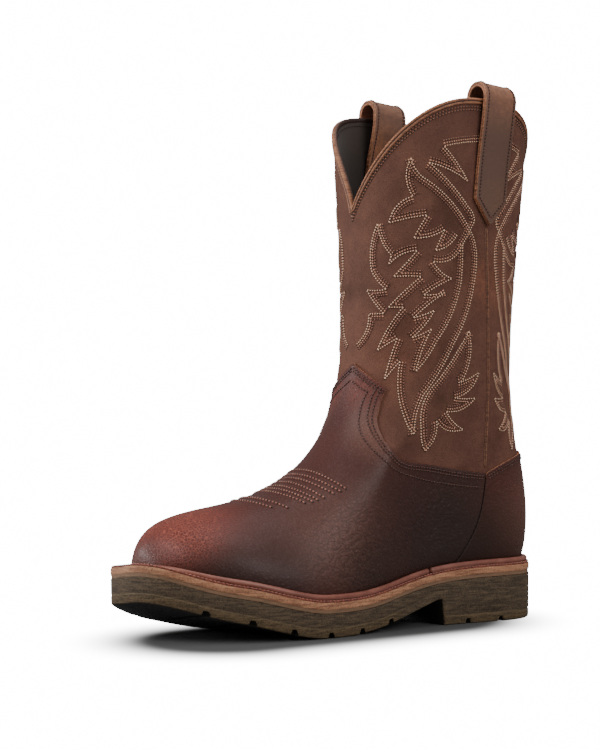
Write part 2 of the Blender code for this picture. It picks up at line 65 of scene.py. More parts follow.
level_part = math.cos(PITCH)
towards = np.array([-math.sin(AZIMUTH) * level_part, math.cos(AZIMUTH) * level_part, -math.sin(PITCH)])
right = np.array([math.cos(AZIMUTH), math.sin(AZIMUTH), 0.0])
up = np.cross(right, towards)
aim = towards - right * TARGET_PIXELS[0] / FOCAL_PIXELS + up * TARGET_PIXELS[1] / FOCAL_PIXELS
lens = bpy.data.cameras.new("camera")
lens.sensor_width = SENSOR
lens.lens = FOCAL_PIXELS * SENSOR / LONG_SIDE_PIXELS
camera = bpy.data.objects.new("camera", lens)
camera.location = TARGET - towards * DISTANCE
camera.rotation_euler = Vector(aim).to_track_quat("-Z", "Y").to_euler()
bpy.context.scene.collection.objects.link(camera)
bpy.context.scene.camera = camera
print("camera at", [round(v, 3) for v in camera.location], "lens", round(lens.lens, 1))

# %% [markdown]
# Studio light for leather is large and soft. A wide panel high in front of the toe gives the long gloss on
# toe and vamp, a smaller one low in front on the inner side lights the toe's far flank, a panel on the
# outer side opens the shadows, and one from above lights the collar.

# %% Lights
Lamp = namedtuple("Lamp", "name place size power")
LAMPS = (
    Lamp("toe_panel", (-0.1, -1.5, 1.35), 1.2, 20.0),
    Lamp("left_panel", (-1.3, -1.3, 0.25), 0.6, 17.0),
    Lamp("side_panel", (1.7, 0.3, 1.1), 1.2, 18.0),
    Lamp("top_panel", (0.1, 0.4, 1.9), 1.2, 12.0),
)
for row in LAMPS:
    light = bpy.data.lights.new(row.name, "AREA")
    light.shape = "DISK"
    light.size = row.size
    light.energy = row.power
    lamp = bpy.data.objects.new(row.name, light)
    lamp.location = row.place
    lamp.rotation_euler = (Vector(TARGET) - Vector(row.place)).to_track_quat("-Z", "Y").to_euler()
    bpy.context.scene.collection.objects.link(lamp)
print("lights:", [row.name for row in LAMPS])

# %% [markdown]
# The surroundings are white where the camera sees them, and dimmer as a source of light. A light path node
# tells the two apart.

# %% Surroundings
WHITE = (1.0, 1.0, 1.0, 1.0)
ROOM_LIGHT, WHITE_LEVEL = 0.25, 16.0
world = bpy.data.worlds.new("studio")
bpy.context.scene.world = world
world.use_nodes = True
tree = world.node_tree
tree.nodes.clear()


def background(strength):
    """White surroundings of one strength."""
    made = tree.nodes.new("ShaderNodeBackground")
    made.inputs["Color"].default_value = WHITE
    made.inputs["Strength"].default_value = strength
    return made.outputs["Background"]


ray = tree.nodes.new("ShaderNodeLightPath")
either = tree.nodes.new("ShaderNodeMixShader")
out = tree.nodes.new("ShaderNodeOutputWorld")
tree.links.new(ray.outputs["Is Camera Ray"], either.inputs["Fac"])
tree.links.new(background(ROOM_LIGHT), either.inputs[1])
tree.links.new(background(WHITE_LEVEL), either.inputs[2])
tree.links.new(either.outputs["Shader"], out.inputs["Surface"])
print("surroundings:", WHITE_LEVEL, "for the camera,", ROOM_LIGHT, "as light")

# %% [markdown]
# A boot is built on a last, a wooden foot. Its shape is held here in a few short tables: the sole's plan,
# the heights of the tread and of the line where sole and midsole meet, the front and back profile in side
# view, and the half width of the shaft. Smooth curves through them give every value in between.

# %% Last
def table(columns, *rows):
    """Table from the names of its columns and its rows."""
    kind = namedtuple("Row", columns)
    return tuple(kind(*row) for row in rows)


def column(rows, name):
    """One named column of a table."""
    return np.array([getattr(row, name) for row in rows], float)


SOLE_LENGTH = 305.0
TOE_ROUND, TOE_SQUARE, HEEL_ROUND, HEEL_SQUARE = 0.22, 2.6, 0.12, 2.3
BREAST, MIDSOLE, WELT, SEAT = 0.293, 7.0, 2.4, 0.3
PLAN = table(
    "share centre half", (0.00, 0.0, 36.5), (0.12, 0.0, 37.5), (0.25, 1.0, 36.5), (0.40, 4.0, 38.0),
    (0.52, 4.5, 46.0), (0.66, 1.5, 56.0), (0.78, -2.5, 56.0), (0.90, -6.5, 51.0), (1.00, -8.5, 48.0),
)
LEVELS = table(
    "share tread joint", (0.00, 0.0, 30.5), (0.12, 0.0, 30.2), (0.24, 0.0, 29.2), (0.31, 17.0, 27.4),
    (0.38, 10.5, 24.0), (0.46, 4.2, 18.8), (0.54, 0.8, 15.6), (0.60, 0.0, 15.2), (0.68, 0.0, 15.5),
    (0.78, 1.5, 17.0), (0.90, 9.2, 24.2), (1.00, 21.0, 37.5),
)
FRONT = table(
    "y z", (-137.5, 42), (-138.5, 54), (-130, 67), (-112, 75), (-74, 81.5), (-39, 93), (-13, 113), (6, 143),
    (14, 180), (16, 225), (14.5, 280), (11, 370),
)
BACK = table(
    "y z", (146, 40), (149, 60), (148.5, 82), (144, 108), (137.5, 140), (134.5, 175), (135.5, 215),
    (140, 275), (150, 370),
)
SHAFT = table(
    "z half", (40, 33.5), (72, 36.0), (112, 38.5), (155, 42.5), (205, 47.5), (270, 52.0), (370, 56.5),
)
print("tables:", len(PLAN), "places,", len(LEVELS), "levels,", len(FRONT) + len(BACK), "profile points")

# %% [markdown]
# A natural cubic curve goes through all the values of a table and bends as little as it can. Two more
# formulas come back everywhere: a smooth step from 0 to 1, and the rounded end of a superellipse.

# %% Curves
def spline(knots, values):
    """Natural cubic curve: pieces of third degree through the values with one slope and bend at each knot."""
    knots, values = np.asarray(knots, float), np.asarray(values, float)
    step = np.diff(knots)
    slope = np.diff(values) / step
    inner = np.arange(1, len(knots) - 1)
    system = np.eye(len(knots))
    system[inner, inner - 1] = step[:-1]
    system[inner, inner] = 2 * (step[:-1] + step[1:])
    system[inner, inner + 1] = step[1:]
    target = np.zeros(len(knots))
    target[inner] = 6 * np.diff(slope)
    bend = np.linalg.solve(system, target)

    def at(place):
        """Value of the curve at a place, held at the end values outside the knots."""
        place = np.clip(place, knots[0], knots[-1])
        i = np.clip(np.searchsorted(knots, place) - 1, 0, len(knots) - 2)
        t = place - knots[i]
        lean = slope[i] - step[i] * (2 * bend[i] + bend[i + 1]) / 6
        return values[i] + t * lean + t**2 * bend[i] / 2 + t**3 * (bend[i + 1] - bend[i]) / (6 * step[i])

    return at


def curve(rows, by, of):
    """Smooth curve of one column of a table over another."""
    return spline(column(rows, by), column(rows, of))


def between(rows, by, of, place):
    """One column of a table read at a place in another, straight between the rows."""
    return np.interp(place, column(rows, by), column(rows, of))


def ease(x, low, high):
    """Smooth step from 0 at low to 1 at high."""
    t = np.clip((x - low) / (high - low), 0, 1)
    return t * t * (3 - 2 * t)


def closing(t, power):
    """Rounded end: the upper quarter of a superellipse, 0 and upright at t = 0, 1 and level at t = 1."""
    return (1 - (1 - np.clip(t, 0, 1)) ** power) ** (1 / power)

print("half way up a round end of power 2:", closing(0.5, 2.0).round(3))

# %% [markdown]
# With these the tables turn into functions: centre and half width at any place along the sole, the heights of
# tread and joint, and the half width at any height of the shaft.

# %% Heights and widths
plan_centre = curve(PLAN, "share", "centre")
plan_half = curve(PLAN, "share", "half")
joint_curve = curve(LEVELS, "share", "joint")
FORE = [row for row in LEVELS if row.share > BREAST]
tread_curve = curve(FORE, "share", "tread")
shaft_half = curve(SHAFT, "z", "half")


def share(y):
    """Place along the sole, 0 at the heel and 1 at the toe."""
    return 0.5 - np.asarray(y) / SOLE_LENGTH


def joint(y):
    """Height of the outsole's top."""
    return joint_curve(share(y))


def tread(y):
    """Height of the tread: flat under the heel, then arch, ball and toe spring."""
    return np.where(share(y) <= BREAST, 0.0, np.maximum(tread_curve(share(y)), 0.0))


def feather(y):
    """Lower edge of the upper, just above the welt."""
    return joint(y) + MIDSOLE + WELT + SEAT


print("ball width", 2 * round(float(plan_half(0.72)), 1), "mm, toe spring", float(tread(-152.0)), "mm")

# %% [markdown]
# The upper is one function of two parameters. The first, u, runs once round the boot: 0 at the front ridge,
# 1 at the back seam by the outer side, and on to 2 by the inner side. The second, v, runs up from the welt to
# the collar. In side view each pair gives a point between the front and the back profile,
# and the half width there puts it to the left or the right.

# %% Profiles
BOTH = (("outer", 1), ("inner", -1))
FOOT_SHARE, THROAT, TUCK, TUCK_HEIGHT, SIDE_MARGIN, ROUND = 0.62, 172.0, 2.5, 14.0, 4.0, 2.2
COLLAR_FRONT, COLLAR_SIDE, COLLAR_BACK, SCALLOP, INNER_SCALLOP = 274.0, 346.0, 285.0, 2.3, 3.2
ANKLE, HEEL_CUP, INSTEP, INSTEP_RUN, RIDGE_TOP = (60.0, 150.0), (40.0, 90.0), (75.0, 140.0), 54.0, 200.0
RIDGE_LEAN, LEAN_HEIGHT, LEAN_RUN, SWAY_FADE = 4.0, 50.0, (-20, 60), (70, 150)
SETTLE_SHARE, BACK_POWER, LEVEL_FROM, FAR = 0.45, 1.35, 140, 9999.0
CROWN = table("y fall", (-150, 30), (-120, 34), (-60, 48), (0, 60))
REAR = table("z run", (40, 34), (100, 40), (200, 52))


def wave(t):
    """Half a cosine wave from 0 to 1: even steps of t come close together at both ends."""
    return (1 - np.cos(np.pi * t)) / 2


def once_round(count):
    """Even values of u, once round the boot."""
    return np.arange(count) * 2.0 / count


def travelled(y, z):
    """Length along a side view line from its start to each point."""
    return np.r_[0, np.cumsum(np.hypot(np.diff(y), np.diff(z)))]


def dense(rows):
    """Fine smooth line through a profile table: share of its length, y, z."""
    y, z = column(rows, "y"), column(rows, "z")
    length = travelled(y, z)
    length /= length[-1]
    fine = np.linspace(0, 1, 1200)
    return fine, spline(length, y)(fine), np.maximum.accumulate(spline(length, z)(fine))


FRONT_SHARE, FRONT_Y, FRONT_Z = dense(FRONT)
BACK_SHARE, BACK_Y, BACK_Z = dense(BACK)
nose = FRONT_Y.argmin()
RIDGE_Y, RIDGE_Z = np.maximum.accumulate(FRONT_Y[nose:]), FRONT_Z[nose:]


def front_y(z):
    """The front profile's y at a height."""
    return np.interp(z, FRONT_Z, FRONT_Y)


def back_y(z):
    """The back profile's y at a height."""
    return np.interp(z, BACK_Z, BACK_Y)

print("front profile from y", FRONT_Y.min().round(1), "to", FRONT_Y.max().round(1), "mm")

# %% [markdown]
# The half width says how far the upper reaches to either side of its middle line. Four rules are blended: the
# foot's plan, the shaft's oval, the crown under the front ridge, and the round of the heel.

# %% Half width
def half_width(y, z, toe_y=FRONT_Y[nose], drop=0.0):
    """Half width: the plan of the foot below, the oval of the shaft above, blended over the ankle;
    rounded in like a superellipse under the front ridge and ahead of the back seam, tucked in at the welt."""
    foot = plan_half(share(y)) - SIDE_MARGIN
    toe = closing((y - toe_y) / (TOE_ROUND * SOLE_LENGTH), TOE_SQUARE)
    foot = foot * toe
    rise = ease(z, *ANKLE)
    wide = foot * (1 - rise) + shaft_half(z) * rise
    heel = ease(y, *HEEL_CUP)
    wide = wide * (1 - heel) + shaft_half(z) * heel
    wide = wide - TUCK * toe * np.clip(1 - (z - feather(y)) / TUCK_HEIGHT, 0, 1) ** 2
    ridge = np.where(y < RIDGE_Y[-1] - 0.01, np.interp(y, RIDGE_Y, RIDGE_Z), FAR)
    below = np.where(z < RIDGE_TOP, np.maximum(ridge - z + drop, 1e-6), FAR)
    behind = np.maximum(y - front_y(z), 1e-6)
    fall = between(CROWN, "y", "fall", y)
    run = INSTEP_RUN * ease(z, *INSTEP) + 1e-6
    crown = closing(1 / np.sqrt((fall / below) ** 2 + (run / behind) ** 2), ROUND)
    rear = closing((back_y(z) - y) / between(REAR, "z", "run", z), ROUND)
    return np.maximum(wide, 0) * crown * rear


def centre_line(y, z):
    """Sideways curve of the foot, fading out up the shaft; the ridge leans to the inner side."""
    lean = RIDGE_LEAN * np.clip((z - feather(y)) / LEAN_HEIGHT, 0, 1) * ease(-y, *LEAN_RUN)
    return (plan_centre(share(y)) - lean) * (1 - ease(z, *SWAY_FADE))

print("half width at the ball", half_width(-65.0, 45.0).round(1), "mm")

# %% [markdown]
# Now u and v can be put together. The rows start on the welt, rise with the profiles to the throat, and end
# at the scalloped collar.

# %% Upper surface
def collar(q, side):
    """Collar height: front dip, side scallop, back dip; squarer in front on the inner side."""
    front_shape = np.where(side > 0, SCALLOP, INNER_SCALLOP)
    front = COLLAR_FRONT + (COLLAR_SIDE - COLLAR_FRONT) * closing(2 * q, front_shape)
    back = COLLAR_BACK + (COLLAR_SIDE - COLLAR_BACK) * closing(2 - 2 * q, SCALLOP)
    return np.where(q < 0.5, front, back)


def front_share(v):
    """Share of the front profile reached at v."""
    return np.clip(v / FOOT_SHARE, 0, 1) * np.interp(THROAT, FRONT_Z, FRONT_SHARE)


def settle(v, q):
    """How far the lower rows are moved down on to the welt, fading out upwards."""
    first_y = FRONT[0].y + (BACK[0].y - FRONT[0].y) * q
    first_z = FRONT[0].z + (BACK[0].z - FRONT[0].z) * q
    return (1 - ease(v / FOOT_SHARE, 0, SETTLE_SHARE)) * (feather(first_y) - first_z)


def side_view(v, q, side=1.0):
    """Side view y and z: v from welt to collar, q from the front profile (0) to the back profile (1)."""
    front_at = front_share(v)
    back_at = np.clip(v / FOOT_SHARE, 0, 1) ** BACK_POWER * np.interp(THROAT, BACK_Z, BACK_SHARE)
    fy, fz = np.interp(front_at, FRONT_SHARE, FRONT_Y), np.interp(front_at, FRONT_SHARE, FRONT_Z)
    by, bz = np.interp(back_at, BACK_SHARE, BACK_Y), np.interp(back_at, BACK_SHARE, BACK_Z)
    z = fz + (bz - fz) * q + settle(v, q)
    z = z + np.clip((v - FOOT_SHARE) / (1 - FOOT_SHARE), 0, 1) * (collar(q, side) - THROAT)
    level = ease(fz, LEVEL_FROM, THROAT)
    return (fy + (by - fy) * q) * (1 - level) + level * (front_y(z) + (back_y(z) - front_y(z)) * q), z


def form(u, v):
    """Point of the upper: u round the boot, v up it; the wave makes q fine at both ends."""
    u = np.mod(u, 2.0)
    q = wave(1 - np.abs(1 - u))
    side = np.where(u <= 1, 1.0, -1.0)
    y, z = side_view(v, q, side)
    toe_y = np.interp(np.minimum(front_share(v), FRONT_SHARE[nose]), FRONT_SHARE, FRONT_Y)
    half = half_width(y, z, toe_y, settle(v, q))
    return np.stack([centre_line(y, z) + side * half, y, z], axis=-1)


print("upper from", form(0.0, 0.0).round(1), "at the toe to", form(0.5, 1.0).round(1), "at the collar's side")

# %% [markdown]
# Leather that has been pulled over a last and bent a few times isn't perfectly even. A few soft troughs are
# placed where this boot bends: across the throat, round the ankle and low on the outer side.
# Each is a line in side view, with a depth that fades away from it like a bell curve.

# %% Creases
CREASES = table(
    "y0 z0 y1 z1 width depth", (14, 178, 40, 171, 4.5, 0.55), (12, 196, 48, 186, 6.0, 0.45),
    (30, 150, 62, 158, 5.0, 0.35), (104, 150, 134, 138, 6.0, 0.60), (100, 172, 132, 164, 7.0, 0.50),
    (-8, 96, 30, 70, 6.0, 0.45), (-22, 84, 22, 52, 7.0, 0.35), (40, 78, 78, 62, 7.0, 0.30),
)


def relief(y, z):
    """Sum of troughs: depth times a bell curve of the distance to each crease's line."""
    total = np.zeros(np.broadcast(y, z).shape)
    for row in CREASES:
        run_y, run_z = row.y1 - row.y0, row.z1 - row.z0
        t = np.clip(((y - row.y0) * run_y + (z - row.z0) * run_z) / (run_y**2 + run_z**2), 0, 1)
        away = np.hypot(y - row.y0 - t * run_y, z - row.z0 - t * run_z)
        total -= row.depth * np.sin(np.pi * np.clip(t, 0.08, 0.92)) * np.exp(-((away / row.width) ** 2))
    return total


def unit(vectors):
    """Vectors made one long."""
    return vectors / np.maximum(np.linalg.norm(vectors, axis=-1, keepdims=True), 1e-9)


def facing(along, rise):
    """Unit normals from the two directions of a surface: their cross product, made one long."""
    return unit(np.cross(along, rise))


def skin(u, v, lift=0.0):
    """Point of the upper moved out along its normal by lift and by the creases."""
    step_u, step_v = 5e-3, 1e-3
    along = form(u + step_u, v) - form(u - step_u, v)
    rise = form(u, np.minimum(v + step_v, 1.0)) - form(u, np.maximum(v - step_v, 0.0))
    point = form(u, v)
    amount = lift + relief(point[..., 1], point[..., 2])
    return point + np.asarray(amount)[..., None] * facing(along, rise)


def beside(y, z, side, lift=0.0):
    """Point over a side view place on one side, moved out by lift, and the normal there."""
    step = 0.25
    x = centre_line(y, z) + side * half_width(y, z)
    slope_y = (centre_line(y + step, z) + side * half_width(y + step, z) - x) / step
    slope_z = (centre_line(y, z + step) + side * half_width(y, z + step) - x) / step
    normal = unit(np.stack([np.ones_like(slope_y), -slope_y, -slope_z], axis=-1) * side)
    point = np.stack(np.broadcast_arrays(x, y, z), axis=-1)
    return point + (lift + relief(y, z))[..., None] * normal, normal


print("deepest crease", min(-row.depth for row in CREASES), "mm")

# %% [markdown]
# The sole isn't level across. Ahead of the ball its outer side stands higher than the inner one, so that
# from the outer side a dark wedge of the tread shows under the toe. One smooth lift, given to every piece
# alike, keeps them together.

# %% Roll of the forefoot
ROLL, ROLL_Y, ROLL_X, ROLL_Z = 8.0, (40.0, 100.0), (-25.0, 45.0), (40.0, 90.0)


def rolled(points):
    """Points raised by the roll's height times smooth steps forwards, to the outer side and downwards."""
    x, y, z = np.asarray(points, float).T
    raised = ROLL * ease(-y, *ROLL_Y) * ease(x, *ROLL_X) * (1 - ease(z, *ROLL_Z))
    return np.stack([x, y, z + raised], axis=-1)


print("roll at the outer side of the toe", rolled([[40.0, -110.0, 20.0]])[0, 2] - 20.0, "mm")

# %% [markdown]
# A mesh is a list of points and a list of faces. All pieces here come from grids, so one maker is enough:
# it takes a grid of points in millimetres, joins neighbours into quads, and can close the grid round either
# way. Points that fall together at a pole are welded. Named values per point go along as attributes for the
# materials.

# %% Mesh maker
def quads_of(rows, columns, wrap_rows, wrap_columns):
    """Faces of a grid: each point with its right neighbour, the one above that, and the one above itself."""
    i = np.arange(rows if wrap_rows else rows - 1)[:, None]
    j = np.arange(columns if wrap_columns else columns - 1)[None]
    i2, j2 = (i + 1) % rows, (j + 1) % columns
    corners = [i * columns + j, i * columns + j2, i2 * columns + j2, i2 * columns + j]
    return np.stack(corners, axis=-1).reshape(-1, 4)


def put(name, points, quads, materials, values=None, weld=False, sharp=None, roll=True):
    """Object from points in mm and quads, smooth, with its named values per point and the forefoot's roll."""
    points = rolled(points) if roll else points
    mesh = bpy.data.meshes.new(name)
    mesh.vertices.add(len(points))
    mesh.vertices.foreach_set("co", (np.asarray(points, float) * MM).ravel())
    mesh.loops.add(quads.size)
    mesh.loops.foreach_set("vertex_index", quads.ravel().astype(np.int32))
    mesh.polygons.add(len(quads))
    mesh.polygons.foreach_set("loop_start", np.arange(0, quads.size, 4, dtype=np.int32))
    mesh.update(calc_edges=True)
    for key, value in (values or {}).items():
        attribute = mesh.attributes.new(key, "FLOAT", "POINT")
        attribute.data.foreach_set("value", np.asarray(value, np.float32).ravel())
    if weld:
        work = bmesh.new()
        work.from_mesh(mesh)
        bmesh.ops.remove_doubles(work, verts=work.verts, dist=1e-6)
        work.to_mesh(mesh)
        work.free()
    mesh.validate()
    mesh.shade_smooth()
    if sharp:
        mesh.set_sharp_from_angle(angle=math.radians(sharp))
    for material in materials:
        mesh.materials.append(material)
    piece = bpy.data.objects.new(name, mesh)
    bpy.context.scene.collection.objects.link(piece)
    return piece


def surface(name, grid, materials, wrap_rows=False, wrap_columns=False, **more):
    """Object from a grid of points (rows, columns, 3)."""
    rows, columns = grid.shape[:2]
    quads = quads_of(rows, columns, wrap_rows, wrap_columns)
    return put(name, grid.reshape(-1, 3), quads, materials, **more)


def wear(piece, slot, *nodes):
    """The piece stands for these CAD nodes and moves with the boot."""
    if nodes:
        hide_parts(*nodes)
    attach(piece, "root")
    print(piece.name, len(piece.data.polygons), "faces")


# %% [markdown]
# Materials are small networks of nodes. A few effects come back on many pieces, so each is built once as a
# node group: the pebbled grain of leather, the lighter patches where oiled leather has been pulled, and the
# long fibres of a cut edge or a brushed sole side. A group only gives colours, heights and masks; the
# shader stays in the material.

# %% Node helpers
def paint(red, green, blue):
    """Linear colour from the 0 to 255 steps of a paint chart."""
    c = np.array([red, green, blue]) / 255
    return (*np.where(c <= 0.04045, c / 12.92, ((c + 0.055) / 1.055) ** 2.4).tolist(), 1.0)


def node(tree, kind, inputs=(), **settings):
    """New node with its settings; inputs are sockets to link or values to set, by place or by name."""
    made = tree.nodes.new(kind)
    for key, value in settings.items():
        setattr(made, key, value)
    for key, value in inputs.items() if isinstance(inputs, dict) else enumerate(inputs):
        if isinstance(value, bpy.types.NodeSocket):
            tree.links.new(value, made.inputs[key])
        elif value is not None:
            made.inputs[key].default_value = value
    return made


def maths(tree, operation, *values):
    """One step of arithmetic on numbers."""
    return node(tree, "ShaderNodeMath", values, operation=operation).outputs[0]


def times(tree, first, *others):
    """Product of two or more numbers."""
    for other in others:
        first = maths(tree, "MULTIPLY", first, other)
    return first


def plus(tree, first, second):
    """Sum of two numbers."""
    return maths(tree, "ADD", first, second)


def minus(tree, first, second):
    """Difference of two numbers."""
    return maths(tree, "SUBTRACT", first, second)


def mixed(tree, factor, first, second):
    """Colour between two others."""
    return node(tree, "ShaderNodeMix", {0: factor, 6: first, 7: second}, data_type="RGBA").outputs[2]


def stepped(tree, value, low, high, start=0.0, end=1.0):
    """Value taken smoothly from one range to another."""
    made = node(tree, "ShaderNodeMapRange", (value, low, high, start, end), interpolation_type="SMOOTHSTEP")
    return made.outputs[0]


def near(tree, vector, place, radius):
    """Mask that is 1 at a place on the boot and fades to 0 at the radius, in mm."""
    centre = tuple(np.array(place) * MM)
    away = node(tree, "ShaderNodeVectorMath", (vector, centre), operation="DISTANCE").outputs["Value"]
    return stepped(tree, away, 0.0, radius * MM, 1.0, 0.0)


def noise(tree, vector, scale, detail=3.0, roughness=0.55):
    """Soft random pattern, scale in waves per metre."""
    inputs = {"Vector": vector, "Scale": scale, "Detail": detail, "Roughness": roughness}
    return node(tree, "ShaderNodeTexNoise", inputs).outputs["Fac"]


def new_group(name, inputs, outputs):
    """Empty node group with named sockets; gives the tree, its inputs and its output node."""
    tree = bpy.data.node_groups.new(name, "ShaderNodeTree")
    for key, kind in inputs.items():
        tree.interface.new_socket(key, in_out="INPUT", socket_type=kind)
    for key, kind in outputs.items():
        tree.interface.new_socket(key, in_out="OUTPUT", socket_type=kind)
    return tree, tree.nodes.new("NodeGroupInput").outputs, tree.nodes.new("NodeGroupOutput").inputs


VECTOR, COLOUR, NUMBER = "NodeSocketVector", "NodeSocketColor", "NodeSocketFloat"

# %% [markdown]
# Grain is a field of small rounded pebbles with fine wrinkles between them: a cell pattern for the pebbles,
# pushed about by a noise so that no rows show, and a finer noise on top.

# %% Grain group
PUSH = (0.0022, 0.0022, 0.0022)
HEIGHT_AND_TONE = {"Height": NUMBER, "Tone": NUMBER}
grain, given, put_out = new_group("leather_grain", {"Vector": VECTOR, "Pebbles": NUMBER}, HEIGHT_AND_TONE)
wobble = {"Vector": given["Vector"], "Scale": 260.0, "Detail": 2.0}
push = node(grain, "ShaderNodeTexNoise", wobble).outputs["Color"]
push = node(grain, "ShaderNodeVectorMath", (push, PUSH), operation="MULTIPLY").outputs["Vector"]
pushed = node(grain, "ShaderNodeVectorMath", (given["Vector"], push), operation="ADD").outputs["Vector"]
pattern = {"Vector": pushed, "Scale": given["Pebbles"]}
cells = node(grain, "ShaderNodeTexVoronoi", pattern, feature="DISTANCE_TO_EDGE")
pebble = stepped(grain, cells.outputs["Distance"], 0.0, 0.4)
fine = noise(grain, given["Vector"], 900.0, 2.0)
height = plus(grain, times(grain, pebble, 0.7), times(grain, fine, 0.12))
grain.links.new(height, put_out["Height"])
grain.links.new(stepped(grain, height, 0.05, 0.3), put_out["Tone"])
print(grain.name, len(grain.nodes), "nodes")

# %% [markdown]
# Oiled leather goes lighter where it is bent or rubbed. The mask has large cloudy patches, and the fine
# marks of handling within them.

# %% Pull-up group
pull_up, given, put_out = new_group(
    "oiled_patches", {"Vector": VECTOR, "Colour": COLOUR, "Light Colour": COLOUR, "Amount": NUMBER},
    {"Colour": COLOUR, "Mask": NUMBER},
)
clouds = stepped(pull_up, noise(pull_up, given["Vector"], 17.0, 4.0), 0.42, 0.72, 0.25, 1.0)
marks = stepped(pull_up, noise(pull_up, given["Vector"], 330.0, 5.0, 0.7), 0.35, 0.75, 0.45, 1.0)
mask = maths(pull_up, "MINIMUM", times(pull_up, clouds, given["Amount"], marks), 1.0)
pull_up.links.new(mixed(pull_up, mask, given["Colour"], given["Light Colour"]), put_out["Colour"])
pull_up.links.new(mask, put_out["Mask"])
print(pull_up.name, len(pull_up.nodes), "nodes")

# %% [markdown]
# A cut leather edge and the brushed side of a sole show long thin fibres that run round the boot. Squeezing
# a noise in height draws it out into such lines.

# %% Fibre group
fibre, given, put_out = new_group("drawn_fibres", {"Vector": VECTOR, "Lines": NUMBER}, HEIGHT_AND_TONE)
squeeze = {"Vector": given["Vector"], "Scale": (0.09, 0.09, 1.0)}
drawn = node(fibre, "ShaderNodeMapping", squeeze).outputs["Vector"]
lines = noise(fibre, drawn, given["Lines"], 4.0, 0.65)
specks = noise(fibre, given["Vector"], 1200.0, 3.0)
height = plus(fibre, times(fibre, lines, 0.58), times(fibre, specks, 0.45))
fibre.links.new(height, put_out["Height"])
fibre.links.new(stepped(fibre, height, 0.36, 0.68), put_out["Tone"])
print("node groups:", [tree.name for tree in bpy.data.node_groups])

# %% [markdown]
# A recipe is a function that adds nodes to a material and gives back the sockets for colour, roughness and
# height. The maker turns the height into a bump, links the rest to the shader, and sets what doesn't vary
# on the shader itself.

# %% Material maker
def material(name, recipe, bump=0.3, depth=0.3, **constants):
    """Material whose varying sockets come from a recipe; constants are set on the shader. Depth is in mm."""
    made = bpy.data.materials.new(name)
    made.use_nodes = True
    tree = made.node_tree
    shader = tree.nodes["Principled BSDF"]
    sockets = recipe(tree, tree.nodes.new("ShaderNodeTexCoord").outputs["Object"])
    if "Height" in sockets:
        relief_inputs = {"Strength": bump, "Distance": depth * MM, "Height": sockets.pop("Height")}
        sockets["Normal"] = node(tree, "ShaderNodeBump", relief_inputs).outputs["Normal"]
    for key, socket in sockets.items():
        tree.links.new(socket, shader.inputs[key])
    for key, value in constants.items():
        shader.inputs[key.replace("_", " ")].default_value = value
    print(name, len(tree.nodes), "nodes")
    return made


def placed(tree, group, place, **inputs):
    """Group put in a material, with its place and its other inputs; gives its outputs."""
    named = {key.replace("_", " "): value for key, value in inputs.items()}
    return node(tree, "ShaderNodeGroup", {"Vector": place, **named}, node_tree=group).outputs


def point_value(tree, name):
    """Named value that a piece carries per point."""
    return node(tree, "ShaderNodeAttribute", attribute_name=name).outputs["Fac"]


# %% [markdown]
# The shaft is matte oiled leather, a cool dark brown that turns orange at the throat, along the side seam
# and low on the back panel. The patches are set at those places.

# %% Shaft leather
SHAFT_PATCHES = table(
    "x y z radius amount", (26, 22, 176, 48, 0.8), (24, 22, 255, 60, 0.3), (48, 92, 225, 50, 0.5),
    (44, 112, 225, 55, 0.35), (30, 128, 150, 45, 0.3),
)
SHAFT_DARK, SHAFT_LIGHT = paint(105, 72, 62), paint(158, 102, 78)
SHAFT_PALE, SHAFT_DEEP = paint(132, 92, 76), paint(58, 38, 31)
LEAST_OILED, SHAFT_GAP_SHARE = 0.16, 0.35


def both_sides(tree, place):
    """Place with x taken as positive, so that a patch shows on the outer and the inner side."""
    parts = node(tree, "ShaderNodeSeparateXYZ", (place,)).outputs
    mirrored = (maths(tree, "ABSOLUTE", parts["X"]), parts["Y"], parts["Z"])
    return node(tree, "ShaderNodeCombineXYZ", mirrored).outputs[0]


def patches(tree, place, rows, least=0.0):
    """Sum of soft patches over a least amount everywhere."""
    total = None
    for row in rows:
        soft = times(tree, near(tree, both_sides(tree, place), row[:3], row.radius), row.amount)
        total = soft if total is None else plus(tree, total, soft)
    return maths(tree, "MINIMUM", plus(tree, total, least), 1.0)


def shaft_recipe(tree, place):
    """Oiled patches, mottled with a paler and a deeper brown, and deep brown between the pebbles."""
    amount = patches(tree, place, SHAFT_PATCHES, LEAST_OILED)
    oiled = placed(tree, pull_up, place, Colour=SHAFT_DARK, Light_Colour=SHAFT_LIGHT, Amount=amount)
    pores = placed(tree, grain, place, Pebbles=950.0)
    mottle = stepped(tree, noise(tree, place, 45.0, 6.0, 0.65), 0.35, 0.7, 0.0, 0.6)
    colour = mixed(tree, mottle, oiled["Colour"], SHAFT_PALE)
    shade = stepped(tree, noise(tree, place, 26.0, 4.0, 0.6), 0.48, 0.75, 0.0, 0.45)
    colour = mixed(tree, shade, colour, SHAFT_DEEP)
    gaps = times(tree, minus(tree, 1.0, pores["Tone"]), SHAFT_GAP_SHARE)
    colour = mixed(tree, gaps, colour, SHAFT_DEEP)
    rough = stepped(tree, oiled["Mask"], 0.0, 1.0, 0.72, 0.62)
    return {"Base Color": colour, "Roughness": rough, "Height": pores["Height"]}


shaft_leather = material("shaft_leather", shaft_recipe, 0.2, 0.25, Specular_IOR_Level=0.1)
